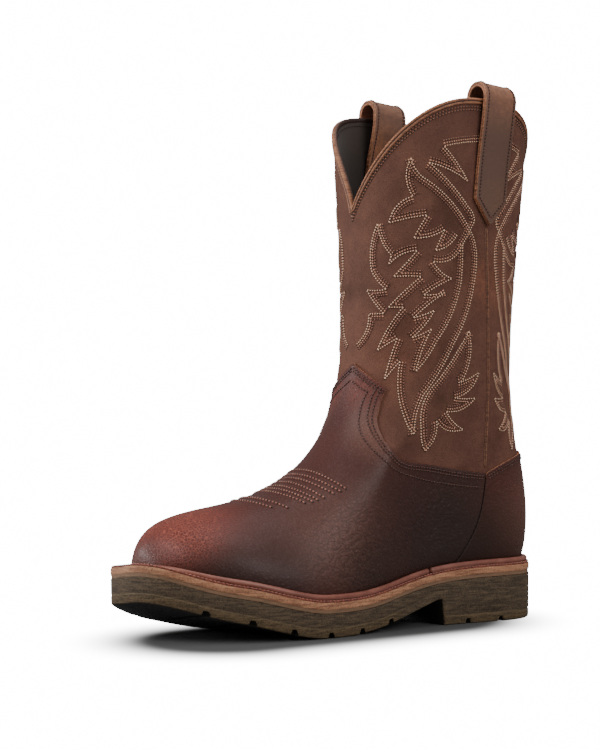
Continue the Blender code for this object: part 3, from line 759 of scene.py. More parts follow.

# %% [markdown]
# The vamp is a glossier, redder leather with a coarser grain. It is reddest on top of the toe, where it has
# been buffed and light veins show between the pebbles. Elsewhere those gaps are dark. Low on the sides and
# towards the heel the leather is nearly black brown: partly darker leather, partly painted shade. Fine
# wrinkles lie where a stretched noise crosses its middle value, and their creases are painted dark as shade.
# A thin coat gives the soft sheen.

# %% Vamp and counter leather
# The gap colour darkens the pebbles' hollows and, as painted shade, the wrinkles' creases.
VAMP_BROWN, VAMP_GREY, VAMP_GAP_AND_SHADE = paint(80, 45, 39), paint(128, 90, 77), paint(34, 17, 14)
VAMP_RED, VAMP_DARK_AND_SHADE = paint(108, 49, 41), paint(43, 31, 26)
VAMP_VEIN = paint(190, 104, 86)
# The third share sets how dark the wrinkles' creases are painted: painted shade.
GAP_SHARE, VEIN_SHARE, CREASE_SHADE_SHARE, PILLOW_HEIGHT = 0.26, 0.62, 0.6, 1.6
GREY_PATCHES = table(
    "x y z radius amount", (46, -22, 58, 60, 0.5), (34, 15, 132, 34, 1.0), (30, 130, 70, 50, 0.6),
)
# Dark patches low on the sides and at the heel: partly darker leather, partly painted shade.
LOW_DARK_AND_SHADE_PATCHES = table(
    "x y z radius amount", (38, 58, 55, 95, 1.0), (46, -5, 30, 50, 0.65), (44, -75, 32, 50, 0.7),
    (32, -112, 38, 40, 0.75), (30, 125, 36, 60, 0.5),
)
WRINKLE_PATCHES = table(
    "x y z radius amount", (46, -15, 50, 75, 1.0), (42, 50, 70, 50, 0.8), (34, 110, 90, 40, 0.5),
)
RED_PATCHES = table(
    "x y z radius amount", (0, -114, 76, 58, 1.0), (28, -124, 62, 36, 0.6), (4, -5, 120, 45, 0.1),
    (14, 14, 156, 28, 0.6),
)


def foot_leather(tree, place, red):
    """Foot leather: red by a mask, grey in patches, dark low down as darker leather and painted shade,
    with gaps, veins, and wrinkles whose creases are painted shade.
    Gives its colour, the grain's tone and the height."""
    cloud = stepped(tree, noise(tree, place, 16.0), 0.3, 0.7, 0.75, 1.0)
    # Darker low down and at the heel: partly darker leather, partly painted shade.
    dark_and_shade = times(tree, patches(tree, place, LOW_DARK_AND_SHADE_PATCHES), cloud)
    pores = placed(tree, grain, place, Pebbles=530.0)
    worn = mixed(tree, patches(tree, place, GREY_PATCHES), VAMP_BROWN, VAMP_GREY)
    base = mixed(tree, dark_and_shade, mixed(tree, red, worn, VAMP_RED), VAMP_DARK_AND_SHADE)
    hollows = minus(tree, 1.0, pores["Tone"])
    thin, buffed = maths(tree, "POWER", hollows, 3.5), maths(tree, "POWER", red, 1.7)
    veins = times(tree, thin, buffed, minus(tree, 1.0, dark_and_shade), VEIN_SHARE)
    stretch = {"Vector": place, "Rotation": (0.6, 0.0, 0.0), "Scale": (0.8, 0.55, 1.0)}
    turned = node(tree, "ShaderNodeMapping", stretch).outputs["Vector"]
    crossing = maths(tree, "ABSOLUTE", minus(tree, noise(tree, turned, 300.0, 1.0), 0.5))
    amount = patches(tree, place, WRINKLE_PATCHES)
    # The wrinkles' creases are painted dark as shade; their pillows are real relief.
    crease_shade = times(tree, stepped(tree, crossing, 0.0, 0.06, 1.0, 0.0), amount, CREASE_SHADE_SHARE)
    pillows = times(tree, stepped(tree, crossing, 0.0, 0.18), amount, PILLOW_HEIGHT)
    gaps_and_crease_shade = mixed(tree, maths(tree, "MAXIMUM", times(tree, hollows, GAP_SHARE), crease_shade), base, VAMP_GAP_AND_SHADE)
    return mixed(tree, veins, gaps_and_crease_shade, VAMP_VEIN), pores["Tone"], plus(tree, pores["Height"], pillows)


def vamp_recipe(tree, place):
    """Foot leather, red by patches and glossier on the pebbles."""
    colour, tone, height = foot_leather(tree, place, patches(tree, place, RED_PATCHES, 0.05))
    return {"Base Color": colour, "Roughness": stepped(tree, tone, 0.0, 1.0, 0.56, 0.42), "Height": height}


def counter_recipe(tree, place):
    """Foot leather, a little red in clouds."""
    red = stepped(tree, noise(tree, place, 25.0), 0.4, 0.7, 0.08, 0.3)
    colour, tone, height = foot_leather(tree, place, red)
    return {"Base Color": colour, "Roughness": stepped(tree, tone, 0.0, 1.0, 0.62, 0.48), "Height": height}


vamp_leather = material(
    "vamp_leather", vamp_recipe, 0.6, 0.4, Specular_IOR_Level=0.22, Coat_Weight=0.14, Coat_Roughness=0.36
)
counter_leather = material(
    "counter_leather", counter_recipe, 0.6, 0.4, Specular_IOR_Level=0.2, Coat_Weight=0.04, Coat_Roughness=0.45
)

# %% [markdown]
# Straps are the shaft's leather, darker on the face and warmer where they fold over. Cut edges of all the
# leather are raw tan, but along the quarter seam the panels' edges are painted dark as the seam's shade.
# The point values edge and warm tell the material where the cut and the fold are.

# %% Straps, raw edges, seam and lining
RAW_TAN, RAW_DARK = paint(205, 138, 98), paint(118, 72, 52)
STRAP_FACE, STRAP_FOLD, TRIM_DARK = paint(96, 70, 58), paint(222, 146, 104), paint(52, 32, 26)
LINING_DARK, LINING_LIGHT = paint(38, 31, 27), paint(70, 56, 48)


def raw_colour(tree, place):
    """Tan fibres of a cut edge, with its height."""
    cut = placed(tree, fibre, place, Lines=900.0)
    return mixed(tree, cut["Tone"], RAW_DARK, RAW_TAN), cut["Height"]


def raw_and_seam_shade_recipe(tree, place):
    """Cut edge of a panel: raw above the height where the vamp's edge climbs, painted dark below it, where it
    runs along the quarter seam, as the seam's shade.
    """
    colour, height = raw_colour(tree, place)
    # Below this height the panel's edge runs along the quarter seam and is painted dark: painted shade.
    high = stepped(tree, node(tree, "ShaderNodeSeparateXYZ", (place,)).outputs["Z"], 0.094, 0.101)
    return {"Base Color": mixed(tree, high, VAMP_DARK_AND_SHADE, colour), "Height": height}


def strap_recipe(tree, place):
    """Oiled leather that is warm at the fold, with raw cut edges."""
    warm, cut = point_value(tree, "warm"), point_value(tree, "edge")
    oiled = placed(tree, pull_up, place, Colour=STRAP_FACE, Light_Colour=STRAP_FOLD, Amount=warm)
    pores = placed(tree, grain, place, Pebbles=900.0)
    raw, height = raw_colour(tree, place)
    colour = mixed(tree, cut, oiled["Colour"], raw)
    return {"Base Color": colour, "Height": plus(tree, pores["Height"], height)}


def trim_recipe(tree, place):
    """Dark folded leather with raw ridges."""
    raw, height = raw_colour(tree, place)
    return {"Base Color": mixed(tree, point_value(tree, "edge"), TRIM_DARK, raw), "Height": height}


def lining_recipe(tree, place):
    """Dark cloth with a fine nap."""
    nap = noise(tree, place, 900.0, 4.0)
    shade = times(tree, plus(tree, nap, noise(tree, place, 20.0, 2.0)), 0.5)
    return {"Base Color": mixed(tree, shade, LINING_DARK, LINING_LIGHT), "Height": nap}


raw_edge_and_seam_shade = material("raw_edge_and_seam_shade", raw_and_seam_shade_recipe, 0.3, 0.3, Roughness=0.75)
strap_leather = material("strap_leather", strap_recipe, 0.16, 0.25, Roughness=0.6, Specular_IOR_Level=0.4)
trim_leather = material("collar_edge", trim_recipe, 0.25, 0.25, Roughness=0.62)
lining_cloth = material("lining", lining_recipe, 0.15, 0.2, Roughness=0.85, Sheen_Weight=0.15)

# %% [markdown]
# The sole's side is brushed: tan fibres on the midsole, grey brown lines on the rubber, and an olive band
# along the lugs with a pale line above it, which is a painted highlight. Underneath, the rubber is black.
# The cord at the welt is waxed and has a clear gloss.

# %% Sole materials
MIDSOLE_TAN, MIDSOLE_GAP = paint(206, 150, 112), paint(124, 80, 57)
MIDSOLE_RED, MIDSOLE_STEP = paint(150, 92, 66), paint(116, 92, 70)
PAINTED_HIGHLIGHT_TONE, TREAD_BLACK = paint(126, 108, 80), paint(9, 9, 9)


def midsole_recipe(tree, place):
    """Tan fibres with redder clouds, greyer on the lower step."""
    threads = placed(tree, fibre, place, Lines=700.0)
    cloud = stepped(tree, noise(tree, place, 60.0, 3.0), 0.35, 0.7)
    tan = mixed(tree, threads["Tone"], MIDSOLE_GAP, MIDSOLE_TAN)
    tan = mixed(tree, times(tree, cloud, 0.35), tan, MIDSOLE_RED)
    colour = mixed(tree, times(tree, point_value(tree, "step"), 0.8), tan, MIDSOLE_STEP)
    return {"Base Color": colour, "Height": threads["Height"]}


def outsole_recipe(tree, place):
    """Brushed rubber: grey brown side, olive band with a pale line of painted highlight, black underneath."""
    drawn_lines = placed(tree, fibre, place, Lines=800.0)
    side = mixed(tree, drawn_lines["Tone"], paint(60, 50, 40), paint(108, 90, 70))
    band = mixed(tree, drawn_lines["Tone"], paint(60, 49, 36), paint(110, 90, 64))
    colour = mixed(tree, point_value(tree, "band"), side, band)
    # The pale line above the band is a painted highlight.
    colour = mixed(tree, point_value(tree, "line"), colour, PAINTED_HIGHLIGHT_TONE)
    colour = mixed(tree, point_value(tree, "under"), colour, TREAD_BLACK)
    return {"Base Color": colour, "Height": drawn_lines["Height"]}


def cord_recipe(tree, place):
    """Waxed cord, rubbed lighter in places."""
    rub = stepped(tree, noise(tree, place, 60.0, 2.0), 0.3, 0.7)
    colour = mixed(tree, rub, paint(126, 72, 59), paint(148, 90, 75))
    rough = stepped(tree, rub, 0.0, 1.0, 0.4, 0.46)
    return {"Base Color": colour, "Roughness": rough, "Height": noise(tree, place, 900.0)}


def strip_recipe(tree, place):
    """Red brown strip with a short fuzz."""
    fuzz = noise(tree, place, 800.0, 4.0)
    colour = mixed(tree, stepped(tree, fuzz, 0.35, 0.65), paint(78, 30, 24), paint(150, 78, 58))
    return {"Base Color": colour, "Height": fuzz}


def insole_recipe(tree, place):
    """Dark woven cover."""
    weave = noise(tree, place, 1200.0, 3.0)
    return {"Base Color": mixed(tree, weave, paint(30, 28, 27), paint(66, 60, 56)), "Height": weave}


midsole_edge = material("midsole_edge", midsole_recipe, 0.7, 0.7, Roughness=0.8)
outsole_rubber = material("outsole_rubber", outsole_recipe, 1.0, 1.1, Roughness=0.85, Specular_IOR_Level=0.3)
welt_cord = material("welt_cord", cord_recipe, 0.05, 0.1, Coat_Weight=0.1, Coat_Roughness=0.35)
welt_strip = material("welt_strip", strip_recipe, 0.4, 0.4, Roughness=0.7)
insole_cover = material("insole_cover", insole_recipe, 0.3, 0.3, Roughness=0.9)

# %% [markdown]
# Thread is twisted, so each row has small changes of tone. The flames use three tones from pale to brown,
# the rows along the edges a tan or a red brown one, and the toe a pink one. Dark thread stands for the
# needle holes, and the same dark marks are painted shade between the stitches.

# %% Thread
def thread(name, first, second):
    """Thread of two tones that change every millimetre or so."""

    def recipe(tree, place):
        """The two tones by a fine noise."""
        twist = noise(tree, place, 1300.0, 2.0)
        return {"Base Color": mixed(tree, stepped(tree, twist, 0.3, 0.7), first, second), "Height": twist}

    return material(name, recipe, 0.3, 0.2, Roughness=0.6, Sheen_Weight=0.1)


pale_thread = thread("pale_thread", paint(255, 188, 150), paint(255, 222, 188))
pink_thread = thread("pink_thread", paint(212, 146, 116), paint(244, 186, 154))
brown_thread = thread("brown_thread", paint(142, 94, 76), paint(176, 122, 98))
dark_thread = thread("dark_thread", paint(34, 21, 18), paint(54, 34, 28))
edge_thread = thread("edge_thread", paint(140, 90, 70), paint(186, 126, 98))
vamp_thread = thread("vamp_thread", paint(88, 50, 43), paint(130, 80, 68))
toe_thread = thread("toe_thread", paint(160, 96, 80), paint(216, 152, 130))
print("materials:", len(bpy.data.materials))

# %% [markdown]
# The floor is a wide sheet. Close to the boot it is dark grey paper, shaped round the sole, that stands in
# for the sole's soft shadow: a painted shadow. Further out it glows for the camera alone, so that it runs
# into the white of the surroundings without a line.

# %% Floor
# Outline of the painted shadow: a stadium round the sole, turned and tapered, fading into the glow.
FLOOR_HALF, SHADOW_FADE_START, SHADOW_FADE_END = 6000.0, 0.0045, 0.077
SOLE_STRETCH, SOLE_MIDDLE, SOLE_SIDE, SOLE_TURN = 0.078, -0.021, 0.009, 0.157
SOLE_HALF, SOLE_TAPER = 0.0433, 0.048
PAINTED_SHADOW_GREY, UNSEEN_GREY = (0.09, 0.09, 0.09, 1.0), (0.3, 0.3, 0.3, 1.0)
shadow_paper = bpy.data.materials.new("floor_painted_shadow")
shadow_paper.use_nodes = True
tree = shadow_paper.node_tree
tree.nodes.clear()
place = node(tree, "ShaderNodeSeparateXYZ", (tree.nodes.new("ShaderNodeTexCoord").outputs["Object"],)).outputs
along = maths(tree, "ABSOLUTE", minus(tree, place["Y"], SOLE_MIDDLE))
beyond = maths(tree, "MAXIMUM", minus(tree, along, SOLE_STRETCH), 0.0)
beside_it = minus(tree, place["X"], minus(tree, SOLE_SIDE, times(tree, place["Y"], SOLE_TURN)))
squares = plus(tree, maths(tree, "POWER", beside_it, 2.0), maths(tree, "POWER", beyond, 2.0))
sole_there = plus(tree, SOLE_HALF, times(tree, place["Y"], SOLE_TAPER))
away = minus(tree, maths(tree, "SQRT", squares), sole_there)
# Dark grey paper near the sole: the painted shadow.
painted_shadow = node(tree, "ShaderNodeBsdfDiffuse", {"Color": PAINTED_SHADOW_GREY}).outputs[0]
glow = node(tree, "ShaderNodeEmission", {"Color": WHITE, "Strength": WHITE_LEVEL}).outputs[0]
fade = maths(tree, "POWER", stepped(tree, away, SHADOW_FADE_START, SHADOW_FADE_END), 2.0)
pale = node(tree, "ShaderNodeMixShader", (fade, painted_shadow, glow)).outputs[0]
dim = node(tree, "ShaderNodeBsdfDiffuse", {"Color": UNSEEN_GREY}).outputs[0]
first_seen = tree.nodes.new("ShaderNodeLightPath").outputs["Is Camera Ray"]
shown = node(tree, "ShaderNodeMixShader", (first_seen, dim, pale)).outputs[0]
node(tree, "ShaderNodeOutputMaterial", {"Surface": shown})
corner = np.linspace(-FLOOR_HALF, FLOOR_HALF, 3)
floor_grid = np.stack(np.broadcast_arrays(corner[None, :], corner[:, None], 0.0), axis=-1)
floor = surface("floor", floor_grid, [shadow_paper], roll=False)
print("floor", 2 * FLOOR_HALF * MM, "m wide")

# %% [markdown]
# The shaft and the wall of the foot are one skin of leather. It is a closed band: up the outside from welt
# to collar, over the top edge and down again on the inside, so its thickness is real. The lining is a
# second, inner band.

# %% Upper and lining
LEATHER, WALL = 1.05, 2.2


def wall_band(around, outside_rows, inside_rows, outside, inside):
    """Closed band round the boot: rows up at one distance from the form, rows down at another."""
    v = np.r_[outside_rows, inside_rows[::-1]][:, None]
    lift = np.r_[np.full(len(outside_rows), outside), np.full(len(inside_rows), inside)][:, None]
    u = once_round(around)[None]
    return skin(*np.broadcast_arrays(u, v), lift + 0 * u)


hidden_rows, shown_rows = np.linspace(0, 0.22, 10), np.linspace(0.24, 1, 170)
upper_grid = wall_band(280, np.r_[hidden_rows, shown_rows], np.linspace(0, 1, 30), 0.0, -LEATHER)
shaft = surface("shaft", upper_grid, [shaft_leather], wrap_rows=True, wrap_columns=True)
wear(shaft, "shaft_leather", "upper")
lining_grid = wall_band(180, np.linspace(0, 1, 30), np.linspace(0, 1, 110), -LEATHER - 0.02, -WALL)
lining = surface("lining", lining_grid, [lining_cloth], wrap_rows=True, wrap_columns=True)
wear(lining, "shaft_leather")

# %% [markdown]
# The vamp covers the foot, and the counter the heel. Their cut edges were read off in side view. To make a
# panel, its four border lines are carried over to u and v, and the inside is filled as a blended patch:
# each point is the blend of the two pairs of opposite borders, less the blend of the corners. Solidify then
# gives the panel its thickness.

# %% Panel borders
GAP, OVERLAY = 0.35, 1.3
PANEL_LIFT = GAP + OVERLAY
VAMP_NOTCH = table("y z", (22.2, 155.9), (19.1, 148.4), (16.9, 141.5), (15.0, 134.8), (14.8, 127.6))
VAMP_SIDE = table(
    "y z", (14.8, 127.6), (17.7, 117.3), (22.6, 111.6), (41.7, 107.0), (70.0, 102.8), (95.7, 99.8),
)
QUARTER_SEAM = table("y z", (66, 28.0), (75.5, 43.5), (88.5, 64.0), (93, 79.0), (95.7, 99.8))
COUNTER_TOP = table("y z", (96.6, 99.8), (108, 105.0), (121, 109.5), (136, 113.2), (142.9, 114.6))


def drawn_line(rows, count):
    """Even points on a smooth line through a table of side view points."""
    y, z = column(rows, "y"), column(rows, "z")
    length = travelled(y, z)
    at = np.linspace(0, length[-1], count)
    return np.stack([spline(length, y)(at), spline(length, z)(at)], axis=-1)


def locate(line):
    """The u and v of side view points: the nearest entry of a grid, then tangent steps on the formula."""
    w, v = np.meshgrid(np.linspace(0.0, 1.0, 300), np.linspace(0.0, 1.0, 300))
    y, z = side_view(v, wave(w))
    nearest = np.argmin((y.ravel()[None] - line[:, :1]) ** 2 + (z.ravel()[None] - line[:, 1:]) ** 2, axis=1)
    w, v = w.ravel()[nearest], v.ravel()[nearest]
    step = 1e-4

    def seen_at(w, v):
        """Side view point of a pair."""
        return np.stack(side_view(v, wave(w)), axis=-1)

    for _ in range(5):
        miss = line - seen_at(w, v)
        by_w = (seen_at(w + step, v) - seen_at(w - step, v)) / (2 * step)
        by_v = (seen_at(w, v + step) - seen_at(w, v - step)) / (2 * step)
        area = by_w[:, 0] * by_v[:, 1] - by_w[:, 1] * by_v[:, 0]
        area = np.where(np.abs(area) < 1e-3, 1e-3, area)
        w = np.clip(w + (miss[:, 0] * by_v[:, 1] - miss[:, 1] * by_v[:, 0]) / area, 0.0, 1.0)
        v = np.clip(v + (by_w[:, 0] * miss[:, 1] - by_w[:, 1] * miss[:, 0]) / area, 0.0, 1.0)
    return np.stack([w, v], axis=-1)


def blended(bottom, top, left, right):
    """Blended patch: blend of bottom and top, plus blend of left and right, less that of the corners."""
    s = np.linspace(0, 1, len(bottom))[None, :, None]
    t = np.linspace(0, 1, len(left))[:, None, None]
    ruled = (1 - t) * bottom[None] + t * top[None] + (1 - s) * left[:, None] + s * right[:, None]
    corners = (1 - t) * ((1 - s) * bottom[0] + s * bottom[-1]) + t * ((1 - s) * top[0] + s * top[-1])
    return ruled - corners


borders = (VAMP_NOTCH, VAMP_SIDE, QUARTER_SEAM, COUNTER_TOP)
print("border points:", [len(rows) for rows in borders])

# %% [markdown]
# The vamp has a notched tongue, so it is filled in two patches that share a row: one below the notch, and the
# tongue above it. The tongue's point lies a little to the outer side of the front ridge.

# %% Vamp
TONGUE_COLUMNS, SIDE_COLUMNS, TONGUE_ROWS, ROWS, TIP_U, TIP_HEIGHT = 44, 86, 40, 76, 0.027, 172.3
notch = locate(drawn_line(VAMP_NOTCH, TONGUE_ROWS))[::-1]
side_top = locate(drawn_line(VAMP_SIDE, SIDE_COLUMNS))
side_top[0] = notch[0]
seam_line = locate(drawn_line(QUARTER_SEAM, ROWS))
seam_line[0, 1], seam_line[-1] = 0.0, side_top[-1]
ridge_rows = np.linspace(0, 1, 2000)
tip_v = np.interp(TIP_HEIGHT, form(0 * ridge_rows, ridge_rows)[:, 2], ridge_rows)
waist_v = notch[0, 1]


def ridge_line(v):
    """Middle line of the vamp: the front ridge, moved over to the tongue's point with the square of v."""
    return np.stack([TIP_U * (v / tip_v) ** 2, v], axis=-1)


def line_of(start, end, count):
    """Straight line between two places in u and v."""
    return start + np.linspace(0, 1, count)[:, None] * (end - start)


def tongue_line(side):
    """Top edge of the tongue from point to corner: straight on the outer side, hollow on the inner."""
    s = np.linspace(0, 1, TONGUE_COLUMNS)
    fall = s if side > 0 else 1 - (1 - s) ** 1.8
    corner = notch[-1]
    return np.stack([TIP_U + (side * corner[0] - TIP_U) * s, tip_v + (corner[1] - tip_v) * fall], axis=-1)


def vamp_half(side):
    """Two patches of one side: below the notch, and the tongue."""
    way = np.array([side, 1.0])
    low_ridge = ridge_line(np.linspace(0, waist_v, ROWS))
    high_ridge = ridge_line(np.linspace(waist_v, tip_v, TONGUE_ROWS))
    waist = line_of(low_ridge[-1], way * notch[0], TONGUE_COLUMNS)
    top = np.concatenate([waist[:-1], way * side_top])
    foot = line_of(np.zeros(2), way * seam_line[0], len(top))
    below = blended(foot, top, low_ridge, way * seam_line)
    return below, blended(waist, tongue_line(side), high_ridge, way * notch)


halves = zip(vamp_half(1), vamp_half(-1))
vamp_uv = [np.concatenate([inner[:, :0:-1], outer], axis=1) for outer, inner in halves]
print("vamp patches:", [patch.shape[:2] for patch in vamp_uv])

# %% [markdown]
# The counter is one patch from the seam to the back line, and its mirror image on the inner side.

# %% Counter
counter_top = locate(drawn_line(COUNTER_TOP, 70))
counter_top[-1, 0] = 1.0
SEAM_WIDTH = 0.9
seam_back = locate(drawn_line(table("y z", *((row.y + SEAM_WIDTH, row.z) for row in QUARTER_SEAM)), ROWS))
seam_back[0, 1], seam_back[-1] = 0.0, counter_top[0]
rise = np.linspace(0, 1, ROWS)
heel_line = np.stack([np.ones(ROWS), rise * counter_top[-1, 1]], axis=-1)
heel_foot = np.stack([np.linspace(seam_back[0, 0], 1.0, 70), np.zeros(70)], axis=-1)
counter_half = blended(heel_foot, counter_top, seam_back, heel_line)
counter_inner = counter_half[:, -2::-1] * [-1, 1] + [2, 0]
counter_uv = np.concatenate([counter_half, counter_inner], axis=1)
print("counter patch:", counter_uv.shape[:2])

# %% [markdown]
# Both panels are laid on the skin at their lift. The rim that Solidify adds gets the raw edge's material,
# which is painted dark along the quarter seam as the seam's shade.

# %% Panels
def panel(name, patches_uv, leather, slot, node_name):
    """Leather panel of one or more patches: the skin at the panel's lift, then thickness inwards."""
    points, quads, count = [], [], 0
    for uv in patches_uv:
        points.append(skin(uv[..., 0], uv[..., 1], PANEL_LIFT).reshape(-1, 3))
        quads.append(quads_of(*uv.shape[:2], False, False) + count)
        count += len(points[-1])
    piece = put(name, np.concatenate(points), np.concatenate(quads), [leather, raw_edge_and_seam_shade], weld=True)
    thick = piece.modifiers.new("thickness", "SOLIDIFY")
    thick.thickness = OVERLAY * MM
    thick.offset = -1.0
    thick.material_offset_rim = 1
    wear(piece, slot, node_name)


panel("vamp_panel", vamp_uv, vamp_leather, "vamp_leather", "vamp")
panel("counter_panel", [counter_uv], counter_leather, "counter_leather", "counter")

# %% [markdown]
# The collar's edge is a narrow fold with two round ridges and a dark groove between them. A closed profile,
# drawn in the plane square to the rim, is carried once round the collar line.

# %% Collar edge
FOLD = table(
    "out up edge", (0.1, -2.9, 0.2), (0.75, -2.8, 0.45), (1.1, -2.3, 0.7), (1.15, -1.7, 0.75),
    (0.95, -1.2, 0.5), (0.5, -0.9, 0.0), (0.5, -0.65, 0.0), (0.9, -0.4, 0.6), (1.15, 0.1, 0.9),
    (1.05, 0.7, 1.0), (0.6, 1.1, 1.0), (-0.2, 1.3, 0.8), (-1.1, 1.3, 0.4), (-1.9, 1.2, 0.2), (-2.5, 0.8, 0.0),
    (-2.75, 0.2, 0.0), (-2.75, -0.8, 0.0), (-2.6, -1.6, 0.0), (-2.2, -2.0, 0.0), (-1.1, -2.4, 0.0),
)
RIM_POINTS = 480
collar_u = once_round(RIM_POINTS)
rim = form(collar_u, np.ones(RIM_POINTS))
rim_along = unit(np.roll(rim, -1, axis=0) - np.roll(rim, 1, axis=0))
rim_out = facing(rim_along, rim - form(collar_u, np.full(RIM_POINTS, 0.99)))
rim_up = np.cross(rim_out, rim_along)
fold_out, fold_up = column(FOLD, "out")[:, None, None], column(FOLD, "up")[:, None, None]
collar_grid = rim[None] + fold_out * rim_out[None] + fold_up * rim_up[None]
collar_values = {"edge": np.repeat(column(FOLD, "edge"), RIM_POINTS)}
collar_edge = surface("collar_edge", collar_grid, [trim_leather], True, True, values=collar_values)
wear(collar_edge, "binding_leather", "collar_binding")

# %% [markdown]
# The side seam joins front and back panel: two low lips with a dark line between them, laid on the skin
# from the strap's tip down to the counter. The inner strap sits further forward, so the inner seam leans.

# %% Side seams
SEAM = table("y z", (86.5, 263.0), (90.5, 215.0), (95, 162.0), (96, 103.0))
INNER_FORWARD = 16.5
seam_y = spline(-column(SEAM, "z"), column(SEAM, "y"))


def seam_at(z, side):
    """Place of a side seam at a height: the table's curve, leaning forward with height on the inner side."""
    lean = INNER_FORWARD * np.clip((z - SEAM[-1].z) / (SEAM[0].z - SEAM[-1].z), 0, 1)
    return seam_y(-z) - np.where(side > 0, 0.0, lean)


LIPS = table(
    "across height edge", (-1.3, 0.03, 0.3), (-1.0, 0.3, 0.35), (-0.55, 0.38, 0.35), (-0.2, 0.3, 0.25),
    (-0.08, 0.05, 0.0), (0.08, 0.05, 0.0), (0.25, 0.5, 0.55), (0.6, 0.55, 0.6), (1.0, 0.35, 0.5),
    (1.3, 0.03, 0.35), (0.0, -0.6, 0.0),
)
SEAM_POINTS = 90
seam_z = np.linspace(SEAM[0].z, SEAM[-1].z, SEAM_POINTS)
ends = np.r_[0.0, np.ones(SEAM_POINTS - 2), 0.0]
lip_across = column(LIPS, "across")[:, None] * ends[None]
lip_height = column(LIPS, "height")[:, None] * ends[None]
for place, side in BOTH:
    seam_place = seam_at(seam_z, side)[None] + lip_across
    seam_grid, _ = beside(seam_place, seam_z[None] + 0 * lip_across, side, lip_height)
    order = slice(None, None, side)
    lip_values = {"edge": np.repeat(column(LIPS, "edge")[order], SEAM_POINTS)}
    turned_grid = seam_grid[order, ::-1]
    shape = {"values": lip_values, "weld": True}
    seam = surface(f"seam_lips_{place}", turned_grid, [trim_leather], wrap_rows=True, **shape)
    wear(seam, "seam_leather", f"side_seam_{place}")

# %% [markdown]
# A pull strap is two layers of leather sewn together, folded over the collar so that a finger fits under it.
# Its path goes up the outside, standing off a little at the top, round a half circle, and down inside.
# A closed profile with a groove in each edge is carried along it.

# %% Strap tables
STRAP_THICKNESS, STRAP_TOP, STRAP_STAND, STRAP_LEAN, LOOP = 3.4, 358.0, 3.0, 0.1, 7.4
STRAP = table(
    "z middle half", (264.6, 87.2, 0.3), (266.5, 87.3, 2.2), (280.0, 87.8, 13.0), (346.0, 92.0, 13.0),
    (358.0, 92.6, 13.0),
)
OUTER_LEG = table("z stand", (264, 0.55), (298, 0.55), (312, 1.1), (324, 2.0), (336, 2.7), (347.2, 3.0))
LOOP_INSIDE = 2 * LOOP - STRAP_STAND - WALL
INNER_LEG = table(
    "z stand", (280, 0.95), (294, 0.95), (305, 0.13 * LOOP_INSIDE), (316, 0.34 * LOOP_INSIDE),
    (327, 0.66 * LOOP_INSIDE), (338, 0.94 * LOOP_INSIDE), (347.2, LOOP_INSIDE),
)
TURN_Z = STRAP_TOP - STRAP_THICKNESS - LOOP
FACE = STRAP_THICKNESS
STRAP_EDGE = (
    (0.985, FACE - 0.12, 0.6), (1.0, FACE - 0.5, 1.0), (1.0, FACE * 0.62, 1.0), (0.975, FACE * 0.5, 0.0),
    (1.0, FACE * 0.38, 1.0), (1.0, 0.5, 1.0), (0.985, 0.1, 0.8),
)
STRAP_RIM = table(
    "across depth edge",
    *((across, FACE, 0.0) for across in np.linspace(-0.97, 0.97, 11)),
    *STRAP_EDGE,
    *((across, 0.0, 0.0) for across in np.linspace(0.95, -0.95, 7)),
    *((-across, depth, edge) for across, depth, edge in STRAP_EDGE[::-1]),
)
print("strap profile:", len(STRAP_RIM), "points, loop of", LOOP_INSIDE, "mm inside the wall")

# %% [markdown]
# A leg follows the wall at its stand, the fold is a half circle between the two legs, and both ends are
# closed with a point in the middle of the profile.

# %% Strap shape
outer_z = np.r_[np.linspace(STRAP[0].z, 284, 26), np.linspace(286, TURN_Z, 34)]
inner_z = np.linspace(TURN_Z, 280, 40)
turn = np.linspace(0, np.pi, 26)[1:-1]


def strap_leg(z, across, depth, side, rows, outside):
    """Points on one leg of a strap: at height z, across its width, off the wall by stand and depth."""
    half = between(STRAP, "z", "half", z) if outside else STRAP[-1].half
    middle = between(STRAP, "z", "middle", z)
    y = middle + across * half - (INNER_FORWARD if side < 0 else 0)
    low = z - STRAP_LEAN * across * half
    stand = curve(rows, "z", "stand")(z)
    away = stand + depth if outside else -WALL - stand - depth
    return np.stack([side * (half_width(y, np.minimum(low, COLLAR_SIDE)) + away), y, low], axis=-1)


def strap_points(across, depth, side):
    """Points of a strap: outer leg, half circle and inner leg, across its width and off by depth."""
    up_leg = strap_leg(outer_z[None] + 0 * across, across, depth, side, OUTER_LEG, True)
    down_leg = strap_leg(inner_z[None] + 0 * across, across, depth, side, INNER_LEG, False)
    middle = (up_leg[:, -1:] + down_leg[:, :1]) / 2
    radius = (LOOP + depth)[..., None]
    ring = np.stack([side * np.cos(turn), 0 * turn, np.sin(turn)], axis=-1)[None]
    return np.concatenate([up_leg, middle + radius * ring, down_leg], axis=1)


rim_across, rim_depth = column(STRAP_RIM, "across")[:, None], column(STRAP_RIM, "depth")[:, None]
outer_warmth, turn_warmth, inner_warmth = 0.08 + 0.8 * ease(outer_z, 318, 350), 0.95, 0.7
warmth = np.r_[0, outer_warmth, np.full(len(turn), turn_warmth), np.full(len(inner_z) + 1, inner_warmth)]
for place, side in BOTH:
    open_grid = strap_points(rim_across, rim_depth, side)
    tip, end = (part.mean(0, keepdims=True) + 0 * part for part in (open_grid[:, :1], open_grid[:, -1:]))
    strap_grid = np.concatenate([tip, open_grid, end], axis=1)
    order = slice(None, None, side)
    strap_values = {
        "edge": np.repeat(column(STRAP_RIM, "edge")[order], strap_grid.shape[1]),
        "warm": np.tile(warmth, len(STRAP_RIM)),
    }
    shape = {"values": strap_values, "weld": True, "sharp": 50}
    strap = surface(f"strap_{place}", strap_grid[order], [strap_leather], wrap_rows=True, **shape)
    wear(strap, "strap_leather", f"pull_strap_{place}")

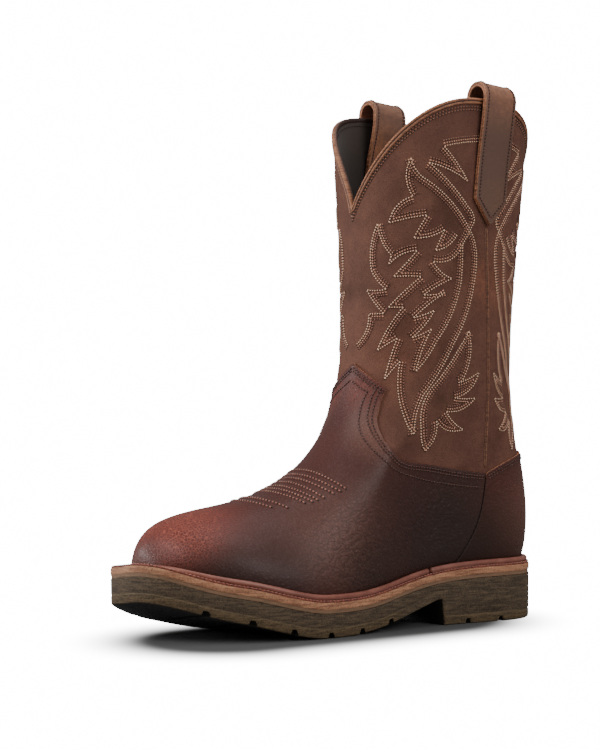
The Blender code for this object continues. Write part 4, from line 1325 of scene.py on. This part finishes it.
# %% [markdown]
# Round the foot, where upper and sole meet, lies a waxed cord on a thin red strip. The cord's two ends butt
# together at the outer shank. Its path is the upper's lowest ring moved outwards, its profile a circle.

# %% Welt cord
CORD_RADIUS, CORD_OUT, CORD_RISE, CORD_JOINT_Y, CORD_SPLIT = 1.85, 4.3, 3.0, 50.0, 0.0001
ring_share = (CORD_JOINT_Y - FRONT[0].y) / (BACK[0].y - FRONT[0].y)
joint_u = math.acos(1 - 2 * ring_share) / math.pi


def foot_ring(u, out):
    """Ring round the foot at the welt, moved out level by a distance."""
    step = 0.015
    along = form(u + step, 0 * u) - form(u - step, 0 * u)
    level_out = unit(np.stack([along[:, 1], -along[:, 0], 0 * u], axis=-1))
    return form(u, 0 * u) + out * level_out, level_out


CORD_POINTS, CORD_SIDES = 520, 14
cord_u = joint_u + np.linspace(CORD_SPLIT, 2 - CORD_SPLIT, CORD_POINTS)
cord_path, cord_side = foot_ring(cord_u, CORD_OUT)
cord_path[:, 2] = joint(cord_path[:, 1]) + MIDSOLE + CORD_RISE
around = np.linspace(0, 2 * np.pi, CORD_SIDES, endpoint=False)[:, None, None]
fullness = np.r_[0.0, 0.99, np.ones(CORD_POINTS - 4), 0.99, 0.0]
cord_offset = np.cos(around) * cord_side[None] + np.sin(around) * np.array([0, 0, 1.0])
cord_grid = cord_path[None] + CORD_RADIUS * fullness[None, :, None] * cord_offset
cord = surface("welt_cord", cord_grid, [welt_cord], wrap_rows=True, weld=True)
wear(cord, "welt", "welt")

# %% [markdown]
# The strip under the cord reaches from the upper's lowest ring out to the sole's outline.

# %% Welt strip
def sole_edge(q, inset):
    """Sole outline: y along the length, the plan's centre, and its half width rounded in at toe and heel."""
    y = (q - 0.5) * (SOLE_LENGTH - 2 * inset)
    ends = closing(q / TOE_ROUND, TOE_SQUARE) * closing((1 - q) / HEEL_ROUND, HEEL_SQUARE)
    return y, plan_centre(share(y)), (plan_half(share(y)) - inset) * ends


def ring_to_ring(inner, outer, rows):
    """Grid of rings between two others: each row is a share of the way out, and a rise over the midsole."""
    grid = inner[None] + column(rows, "across")[:, None, None] * (outer - inner)[None]
    grid[..., 2] = joint(grid[..., 1]) + MIDSOLE + column(rows, "rise")[:, None]
    return grid


STRIP = table(
    "across rise", (0.0, 0.1), (1.0, 0.1), (1.0, 0.8), (0.97, 1.1), (0.9, 1.2), (0.5, 1.2), (0.0, 1.2),
)
strip_u = once_round(400)
strip_in, _ = foot_ring(strip_u, -WALL)
turn_share = wave(1 - np.abs(1 - strip_u))
edge_y, edge_centre, edge_half = sole_edge(turn_share, 0.4)
strip_out = np.stack([edge_centre + np.where(strip_u <= 1, 1, -1) * edge_half, edge_y, 0 * edge_y], axis=-1)
strip_grid = ring_to_ring(strip_in, strip_out, STRIP)
strip = surface("welt_strip", strip_grid, [welt_strip], wrap_rows=True, wrap_columns=True, sharp=40)
wear(strip, "welt")

# %% [markdown]
# Midsole and outsole are slabs on the same outline. At each place along the foot a closed section goes
# across the bottom, up the outer side in small steps, across the top and down the inner side. The lug
# grooves lift the lowest rows.

# %% Sole slabs
MIDSOLE_STEPS = table(
    "inset rise", (0.6, 0.3), (0.55, 1.2), (0.6, 2.3), (0.15, 2.8), (0.0, 3.4), (0.0, 4.8), (0.0, 6.2),
    (0.3, 6.8), (0.8, 7.0),
)
OUTSOLE_STEPS = table(
    "inset rise", (1.6, 0.0), (0.7, 0.7), (0.45, 1.8), (0.35, 3.6), (0.3, 5.3), (0.65, 5.9), (0.65, 6.6),
    (0.3, 7.2),
)
LUG_DEPTH, LUG_GROOVE, LUG_WALL = 3.5, 3.0, 1.2
GROOVES = (*np.arange(-121.0, 20.0, 27.0), 83.5, 111.5)
WIDTH_POINTS = 9


def groove(y):
    """Height of the lug grooves over the tread: full depth between two steep walls at each groove."""
    away = np.abs(np.asarray(y)[..., None] - np.array(GROOVES)).min(axis=-1)
    return LUG_DEPTH * np.clip((LUG_GROOVE / 2 + LUG_WALL - away) / LUG_WALL, 0, 1)


def slab(q, insets, heights):
    """Closed sections along the foot: across the bottom, up the outer steps, over the top and down."""
    sides = [sole_edge(q, inset) for inset in insets]
    x_out = np.stack([centre + half for _, centre, half in sides], axis=1)
    x_in = np.stack([centre - half for _, centre, half in sides], axis=1)
    y = np.stack([side_y for side_y, _, _ in sides], axis=1)
    across = np.linspace(0, 1, WIDTH_POINTS)[None, 1:-1]
    bottom = x_in[:, :1] + (x_out - x_in)[:, :1] * across
    x = np.concatenate([bottom, x_out, x_in[:, ::-1]], axis=1)
    all_y = np.concatenate([y[:, :1] + 0 * bottom, y, y[:, ::-1]], axis=1)
    z = np.concatenate([heights[:, :1] + 0 * bottom, heights, heights[:, ::-1]], axis=1)
    return np.stack([x, all_y, z], axis=-1)


def by_step(values):
    """Value per step laid out over a whole section: the bottom has the first one."""
    return np.r_[np.full(WIDTH_POINTS - 2, values[0]), values, values[::-1]]


even = wave(np.linspace(0, 1, 240))
mid_insets = column(MIDSOLE_STEPS, "inset")
mid_y = np.stack([sole_edge(even, inset)[0] for inset in mid_insets], axis=1)
midsole_grid = slab(even, mid_insets, joint(mid_y) + column(MIDSOLE_STEPS, "rise")[None])
mid_step = by_step((column(MIDSOLE_STEPS, "rise") < 2.4).astype(float))
shape = {"values": {"step": np.tile(mid_step, len(even))}, "weld": True, "sharp": 40}
midsole = surface("midsole_slab", midsole_grid, [midsole_edge], wrap_columns=True, **shape)
wear(midsole, "midsole", "midsole")

# %% [markdown]
# The outsole has extra sections at the walls of each groove and at the heel's front face, so that they stay
# sharp. Point values tell the rubber where the band along the lugs, its pale line of painted highlight and
# the underside are.

# %% Outsole
# The pale line's heights and share set a painted highlight on the rubber's small step.
BAND_TOP, HIGHLIGHT_FROM, HIGHLIGHT_TO, HIGHLIGHT_SHARE, LUGS_END = 5.6, 5.5, 6.3, 0.4, (18, 34)
wall_at = LUG_GROOVE / 2 * np.array([-1, -1, 1, 1]) + LUG_WALL * np.array([-1, 0, 0, 1])
groove_q = (np.array(GROOVES)[:, None] + wall_at[None]).ravel() / SOLE_LENGTH + 0.5
heel_q = np.array([1 - BREAST + 1e-4, 1 - BREAST - 0.006])
sole_q = np.sort(np.r_[even, groove_q, heel_q])
sole_y = (sole_q - 0.5) * SOLE_LENGTH
sole_insets = np.r_[column(OUTSOLE_STEPS, "inset"), 0.25, 0.2]
step_rise = np.r_[column(OUTSOLE_STEPS, "rise"), 12.0, 20.0]
grooved = groove(sole_y)[:, None] + 0.02 * np.arange(len(OUTSOLE_STEPS))
low_rows = tread(sole_y)[:, None] + np.maximum(column(OUTSOLE_STEPS, "rise")[None], grooved)
top_row = joint(sole_y)[:, None]
low_rows = np.minimum(low_rows, top_row - 2.0)
middle_row = (low_rows[:, -1:] + top_row) / 2
outsole_grid = slab(sole_q, sole_insets, np.concatenate([low_rows, middle_row, top_row], axis=1))
lugged = np.where(share(sole_y) <= BREAST, 1.0, 1 - ease(sole_y, *LUGS_END))
under = by_step(np.r_[0.9, np.zeros(len(step_rise) - 1)])
under[: WIDTH_POINTS - 2] = 1.0
outsole_values = {
    "band": np.outer(lugged, by_step((step_rise < BAND_TOP).astype(float))),
    "line": np.outer(lugged, by_step(((step_rise > HIGHLIGHT_FROM) & (step_rise < HIGHLIGHT_TO)) * HIGHLIGHT_SHARE)),
    "under": np.tile(under, len(sole_q)),
}
shape = {"values": outsole_values, "weld": True, "sharp": 35}
outsole = surface("outsole_slab", outsole_grid, [outsole_rubber], wrap_columns=True, **shape)
wear(outsole, "outsole", "outsole")

# %% [markdown]
# The insole closes the boot underneath: a thin dark pad inside the lowest ring, a little dished in the
# middle.

# %% Insole
INSOLE, INSOLE_GAP, INSOLE_DISH = 5.0, 0.7, 1.2
pad_u = once_round(200)
pad_ring, _ = foot_ring(pad_u, -WALL - INSOLE_GAP)
pad_y, pad_z = pad_ring[:, 1], pad_ring[:, 2]
pad_middle = np.stack([centre_line(pad_y, pad_z), pad_y, pad_z], axis=-1)
PAD = table(
    "across rise", (0.0, 0.3), (1.0, 0.3), (1.0, INSOLE - 0.6), (0.985, INSOLE), (0.8, INSOLE - 0.4),
    (0.4, INSOLE - INSOLE_DISH), (0.0, INSOLE - INSOLE_DISH),
)
pad_grid = ring_to_ring(pad_middle, pad_ring, PAD)
insole = surface("insole_pad", pad_grid, [insole_cover], wrap_columns=True, weld=True)
wear(insole, "insole", "insole")

# %% [markdown]
# A stitch is a short loop of thread that dips into the leather at both ends. Thousands of them would be
# heavy as round tubes, so one stitch is a spindle of three square rings, low at its ends. A row is cut into
# equal steps, and the spindle is copied to every step at once, turned to the row's direction and the
# leather's normal.

# %% Stitch maker
SPINDLE = table("along wide high", (-0.5, 0.55, -0.3), (0.0, 1.0, 0.3), (0.5, 0.55, -0.3))
SIDES = 4
# Dark spindles between the stitches: needle holes, and painted shade between the stitches.
HOLE_AND_SHADE_MARKS = {"length": 1.1, "radius": 0.66, "shift": 0.5}


def evenly(line, normals, pitch, shift):
    """Even places along a line: its length summed up and cut into equal steps of about the pitch."""
    length = np.r_[0, np.cumsum(np.linalg.norm(np.diff(line, axis=0), axis=1))]
    count = max(int(round(length[-1] / pitch)), 1)
    at = (np.arange(count) + 0.5 + shift) * length[-1] / count

    def read(values, where):
        """Values in between, at a length along the line."""
        return np.stack([np.interp(where, length, values[:, axis]) for axis in range(3)], axis=-1)

    along = read(line, at + 0.3 * pitch) - read(line, at - 0.3 * pitch)
    return read(line, at), unit(along), read(normals, at)


def sew(name, lines, thread_used, slot, pitch=2.3, length=1.55, radius=0.5, shift=0.0):
    """Rows of stitches: centre + along * length share + across and normal * radius share, all at once."""
    rows = [evenly(line, normals, pitch, shift) for line, normals in lines]
    centre, along, normal = (np.concatenate(part) for part in zip(*rows))
    normal = unit(normal - (normal * along).sum(axis=1, keepdims=True) * along)
    across = np.cross(normal, along)
    angle = np.tile(np.arange(SIDES) * 2 * np.pi / SIDES + np.pi / 4, len(SPINDLE))
    wide = np.repeat(column(SPINDLE, "wide"), SIDES) * radius
    forward = np.repeat(column(SPINDLE, "along"), SIDES) * length
    raised = np.repeat(column(SPINDLE, "high"), SIDES) * radius + wide * np.sin(angle)
    parts = ((forward, along), (wide * np.cos(angle), across), (raised, normal))
    offset = sum(part[None, :, None] * axis[:, None] for part, axis in parts)
    last = SIDES * (len(SPINDLE) - 1)
    caps = np.array([np.arange(SIDES)[::-1], last + np.arange(SIDES)])
    quads = np.concatenate([quads_of(len(SPINDLE), SIDES, False, True), caps])
    quads = quads[None] + len(SPINDLE) * SIDES * np.arange(len(centre))[:, None, None]
    stitches = put(name, (centre[:, None] + offset).reshape(-1, 3), quads.reshape(-1, 4), [thread_used])
    wear(stitches, slot)


def sew_row(name, lines, thread_used, slot):
    """Rows of stitches, and the dark needle holes between them, which are also painted shade."""
    sew(f"{name}_stitches", lines, thread_used, slot)
    sew(f"{name}_holes", lines, dark_thread, slot, **HOLE_AND_SHADE_MARKS)


# %% [markdown]
# Two rows run round the collar below its edge, and two along the edges of vamp and counter. The vamp has a
# third further in. A row beside an edge is the edge moved sideways in side view. Where an inner corner
# would make the moved line cross itself, the points that come too near the edge are dropped.

# %% Edge helpers
COLLAR_ROWS, EDGE_ROWS = (4.6, 6.6), (2.2, 4.1)
INNER_TOP = table("y z", (11.4, 160.6), (12.5, 156.0), (14.1, 153.3))
INNER_ROW = table(
    "y z", (14.1, 153.3), (11.9, 147.8), (8.9, 139.2), (7.4, 134.7), (5.7, 127.0), (6.1, 120.3), (9.3, 113.2),
    (16.7, 105.3), (32.3, 99.3), (59.6, 93.9), (88.9, 90.5),
)
THREAD_LIFT, INNER_DROP = 0.1, 9.6


def aside(line, distance, edge, nearest):
    """Line moved to its right, less the points nearer to an edge than a share of the distance."""
    run = unit(np.gradient(line, axis=0))
    moved = line + distance * np.stack([run[:, 1], -run[:, 0]], axis=-1)
    gap = moved[:, None] - edge[None]
    return moved[np.hypot(gap[..., 0], gap[..., 1]).min(axis=1) > nearest * abs(distance)]


def inset(line, distance):
    """Row beside an edge: the edge itself moved to its right."""
    return aside(line, distance, line, 0.98)


def on_skin(u, v, lift):
    """Line on the skin and its normals."""
    line = skin(u, v, lift)
    return line, skin(u, v, lift + 1.0) - line


def over(line, side, lift):
    """Side view line laid on one side of the boot, with its normals."""
    w, v = locate(line).T
    return on_skin(w if side > 0 else 2 - w, v, lift)

# %% [markdown]
# Collar rows keep an even distance from the rim: the skin's rate at the rim turns millimetres into steps of
# v.

# %% Collar rows
ring_u = np.linspace(0, 2, 700)
below_rim = form(ring_u, 0 * ring_u + 0.99)
edge_rate = np.linalg.norm(form(ring_u, 0 * ring_u + 1) - below_rim, axis=1) / 0.01
collar_lines = [on_skin(ring_u, 1 - d / edge_rate, THREAD_LIFT) for d in COLLAR_ROWS]
sew_row("collar", collar_lines, edge_thread, "binding_leather")
lining_line, lining_out = on_skin(ring_u, 1 - COLLAR_ROWS[0] / edge_rate, -WALL - THREAD_LIFT)
sew("lining_stitches", [(lining_line, -lining_out)], dark_thread, "binding_leather")

# %% [markdown]
# The panels' rows lie a thread's lift above the leather, on both sides. Along the tongue's top they follow
# its edge further down, and the third row goes over to the inner side.

# %% Vamp and counter rows
vamp_edge = np.concatenate([drawn_line(rows, 60)[:-1] for rows in (VAMP_NOTCH, VAMP_SIDE)])
counter_edge = drawn_line(COUNTER_TOP, 60)
lift = PANEL_LIFT + THREAD_LIFT
vamp_lines = [over(inset(vamp_edge, d), side, lift) for d in EDGE_ROWS for side in (1, -1)]
vamp_lines.append(over(drawn_line(INNER_TOP, 70), 1, lift))
vamp_lines += [over(drawn_line(INNER_ROW, 70), side, lift) for side in (1, -1)]
tongue_rate = np.linalg.norm(form(0.1, tip_v) - form(0.1, tip_v - 0.01)) / 0.01
tongue_rows = [(d, side) for d in EDGE_ROWS for side in (1, -1)] + [(INNER_DROP, -1)]
for d, side in tongue_rows:
    u, v = tongue_line(side)[: -int(d * 1.2)].T
    vamp_lines.append(on_skin(u, v - 1.15 * d / tongue_rate, lift))
sew_row("vamp", vamp_lines, vamp_thread, "vamp_leather")
counter_lines = [over(inset(counter_edge, d), side, lift) for d in EDGE_ROWS for side in (1, -1)]
sew_row("counter", counter_lines, vamp_thread, "counter_leather")

# %% [markdown]
# A strap is sewn along both edges. On the outside the two rows meet in a point above its tip; at the top they
# go round the fold and down inside.

# %% Strap rows
STRAP_ROW, ROW_TIP, ROW_BEND = 10.6, 268.6, 281.2
row_z = np.r_[np.linspace(ROW_TIP, ROW_BEND, 12), np.linspace(ROW_BEND + 1.5, TURN_Z, 30)]
row_off = np.minimum((row_z - ROW_TIP) / (ROW_BEND - ROW_TIP), 1.0) * STRAP_ROW
half_there = between(STRAP, "z", "half", row_z)


def strap_row(way, side, depth):
    """One row of a strap: up the outer leg at the edge's distance, then round the fold and down."""
    up_leg = strap_leg(row_z, way * row_off / half_there, depth, side, OUTER_LEG, True)
    whole = strap_points(np.array([[way * STRAP_ROW / STRAP[-1].half]]), np.array([[depth]]), side)[0]
    return np.concatenate([up_leg, whole[len(outer_z):]])


strap_lines = []
for side in (1, -1):
    for way in (1, -1):
        line = strap_row(way, side, STRAP_THICKNESS + THREAD_LIFT)
        strap_lines.append((line, strap_row(way, side, STRAP_THICKNESS + THREAD_LIFT + 1) - line))
sew_row("strap", strap_lines, vamp_thread, "strap_leather")

# %% [markdown]
# The shaft is stitched with flames, a traditional ornament. Each flame is a chain of bowed strokes between
# listed points: across is the share of the way from the side seam to the front ridge (or to the back line),
# height is in mm, and bow is how far the stroke bends to its side. A gold row draws the chain, and a pink
# and a brown row follow inside it. All four panels of the shaft carry the same flames.

# %% Flame tables
Stroke = namedtuple("Stroke", "across height bow")
Flame = namedtuple("Flame", "inside strokes")
FLAMES = (
    Flame(-1, (
        (.55, 306, 0), (.54, 281, 3.8), (.70, 264, 3.5), (.45, 269, -.4), (.54, 254, 0), (.33, 260, 1.8),
        (.40, 246, .1), (.24, 257, 2.2),
    )),
    Flame(1, (
        (.55, 306, 0), (.47, 293, 1.6), (.16, 264, -2), (.09, 239, -2.8), (.28, 186, -3.5), (.48, 152, -.6),
        (.50, 126, 2.2),
    )),
    Flame(1, (
        (.44, 303, 0), (.15, 275, -.9), (.10, 266, -1.4), (.21, 249, -.2), (.42, 239, -4.1), (.29, 228, 1.9),
        (.49, 217, .7), (.34, 219, .7), (.56, 202, .8), (.42, 207, .4), (.57, 189, -1.1), (.44, 195, .5),
        (.54, 167, 1.4),
    )),
    Flame(1, (
        (.20, 251, 0), (.22, 226, -.4), (.40, 188, -2.3), (.54, 167, -.7),
    )),
    Flame(-1, (
        (.44, 303, 0), (.16, 292, -1.3), (.34, 314, .6), (.07, 319, -.6),
    )),
    Flame(-1, (
        (.78, 264, 0), (.84, 234, 2.9), (.73, 221, 1.1), (.88, 221, -.7), (.75, 205, .6), (.86, 205, 0),
        (.96, 185, -3.1),
    )),
    Flame(-1, (
        (.78, 264, 0), (.69, 243, 2.1), (.71, 237, 0), (.52, 246, -2.1), (.68, 229, -.3), (.50, 229, -.3),
        (.72, 209, .4), (.62, 209, 0), (.79, 181, 1.7), (.66, 189, 0), (.73, 162, .9), (.64, 174, -.2),
    )),
    Flame(-1, (
        (.64, 174, 0), (.58, 137, 3.4), (.50, 126, .9),
    )),
    Flame(-1, (
        (.16, 194, 0), (.40, 160, -.3), (.46, 129, 5.1), (.39, 115, 1.2),
    )),
    Flame(1, (
        (.16, 194, 0), (.19, 165, -2.9), (.24, 160, -1.1), (.08, 167, 1), (.26, 150, -4), (.10, 150, .7),
        (.31, 141, -3.3), (.17, 129, 1.3), (.37, 135, -3.5), (.39, 115, -2.8),
    )),
)
PANEL_WIDTH, STROKE_POINTS, LEAST_POINTS = 105.0, 26, 4


def chain(flame):
    """Strokes of one flame as plane lines: quadratic curves whose middle is pulled sideways by the bow."""
    marks = [Stroke(*mark) for mark in flame.strokes]
    t = np.linspace(0, 1, STROKE_POINTS)[:, None]
    lines = []
    for first, last in zip(marks[:-1], marks[1:]):
        a = np.array([first.across * PANEL_WIDTH, first.height])
        b = np.array([last.across * PANEL_WIDTH, last.height])
        run = unit(b - a)
        pull = (a + b) / 2 + 2 * last.bow * np.array([-run[1], run[0]])
        lines.append((1 - t) ** 2 * a + 2 * t * (1 - t) * pull + t**2 * b)
    return lines


def beside_chain(lines, distance):
    """The strokes moved to their left, less the points too near the chain and any short remains."""
    moved = [aside(line, -distance, np.concatenate(lines), 0.97) for line in lines]
    return [line for line in moved if len(line) > LEAST_POINTS]


strokes = [(flame.inside, chain(flame)) for flame in FLAMES]
print("strokes:", sum(len(lines) for _, lines in strokes))

# %% [markdown]
# The plane drawing is wrapped on a panel by arc length: at each height the skin's length from the side seam
# to the ridge is measured, and a share of it gives the place. A table over height and share, read in
# between, does this for all points.

# %% Flame stitching
TABLE_Z, TABLE_SHARE, ARC_POINTS = np.linspace(100, 330, 60), np.linspace(0, 1, 81), 160
FLAME_ROWS = table(
    "tone used distance", ("gold", pale_thread, 0.0), ("pink", pink_thread, 1.8),
    ("brown", brown_thread, 3.6),
)
FLAME_STITCH = {"pitch": 1.85, "length": 1.45, "radius": 0.56}
# Dark marks between the flame stitches: needle holes and painted shade.
FLAME_HOLE_AND_SHADE_MARKS = {"pitch": 1.85, "length": 0.75, "radius": 0.6, "shift": 0.5}


def panel_table(border, side):
    """Side view y over height and share: arc length of the level section from side seam to border."""
    steps = wave(np.linspace(0, 1, ARC_POINTS))
    start, end = seam_at(TABLE_Z, side)[:, None], border(TABLE_Z)[:, None]
    y = start + (end - start) * steps[None] * 0.9999
    x = half_width(y, TABLE_Z[:, None] + 0 * y)
    arc = [travelled(*level) for level in zip(x, y)]
    return np.stack([np.interp(TABLE_SHARE, row / row[-1], place) for row, place in zip(arc, y)])


def read_table(shares, share_there, z):
    """Value of the table between its entries, linear both ways."""
    i = np.clip((z - TABLE_Z[0]) / (TABLE_Z[1] - TABLE_Z[0]), 0, len(TABLE_Z) - 1.001)
    j = np.clip(share_there * (len(TABLE_SHARE) - 1), 0, len(TABLE_SHARE) - 1.001)
    i0, j0 = i.astype(int), j.astype(int)
    fi, fj = i - i0, j - j0
    low = shares[i0, j0] * (1 - fj) + shares[i0, j0 + 1] * fj
    high = shares[i0 + 1, j0] * (1 - fj) + shares[i0 + 1, j0 + 1] * fj
    return low * (1 - fi) + high * fi


def wrapped(line, shares, side):
    """Plane line laid on a panel, with its normals."""
    across, z = line.T
    return beside(read_table(shares, across / PANEL_WIDTH, z), z, side, THREAD_LIFT + 0 * z)


def flame_lines(distance):
    """Plane lines of one row: the strokes themselves, or the strokes moved inside by a distance."""
    if not distance:
        return [line for _, lines in strokes for line in lines]
    return [line for inside, lines in strokes for line in beside_chain(lines, inside * distance)]


for half, border in (("front", front_y), ("back", back_y)):
    for place, side in BOTH:
        shares = panel_table(border, side)
        sewn = []
        for row in FLAME_ROWS:
            lines = [wrapped(line, shares, side) for line in flame_lines(row.distance)]
            sew(f"flames_{row.tone}_{half}_{place}", lines, row.used, "shaft_leather", **FLAME_STITCH)
            sewn += lines
        sew(f"flames_holes_{half}_{place}", sewn, dark_thread, "shaft_leather", **FLAME_HOLE_AND_SHADE_MARKS)

# %% [markdown]
# Rows of pink thread cross the toe. Each is an arch over the ridge: highest there, falling with the square
# of the way to its ends.

# %% Toe rows
ARCHES = table(
    "ridge end reach", (.390, .325, .259), (.376, .313, .257), (.364, .303, .250), (.350, .283, .247),
    (.335, .271, .244), (.323, .261, .242), (.310, .255, .230), (.275, .228, .219), (.255, .224, .184),
)
reach = np.linspace(-1, 1, 120)
toe_lines = [on_skin(row.reach * reach, row.ridge - (row.ridge - row.end) * reach**2, lift) for row in ARCHES]
sew("toe_stitches", toe_lines, toe_thread, "vamp_leather", pitch=2.6, length=1.7, radius=0.6)
sew("toe_holes", toe_lines, dark_thread, "vamp_leather", pitch=2.6, length=1.2, radius=0.75, shift=0.5)

# %% [markdown]
# The welt is sewn through from above: one row of longer stitches on the strip, outside the cord.

# %% Welt row
WELT_ROW, WELT_ROW_RISE = 0.97, 1.15
welt_line = strip_in + WELT_ROW * (strip_out - strip_in)
welt_line[:, 2] = joint(welt_line[:, 1]) + MIDSOLE + WELT_ROW_RISE
welt_line = np.concatenate([welt_line, welt_line[:1]])
upwards = np.tile([0.0, 0.0, 1.0], (len(welt_line), 1))
sew("welt_stitches", [(welt_line, upwards)], toe_thread, "welt", pitch=2.6, length=1.8, radius=0.36)
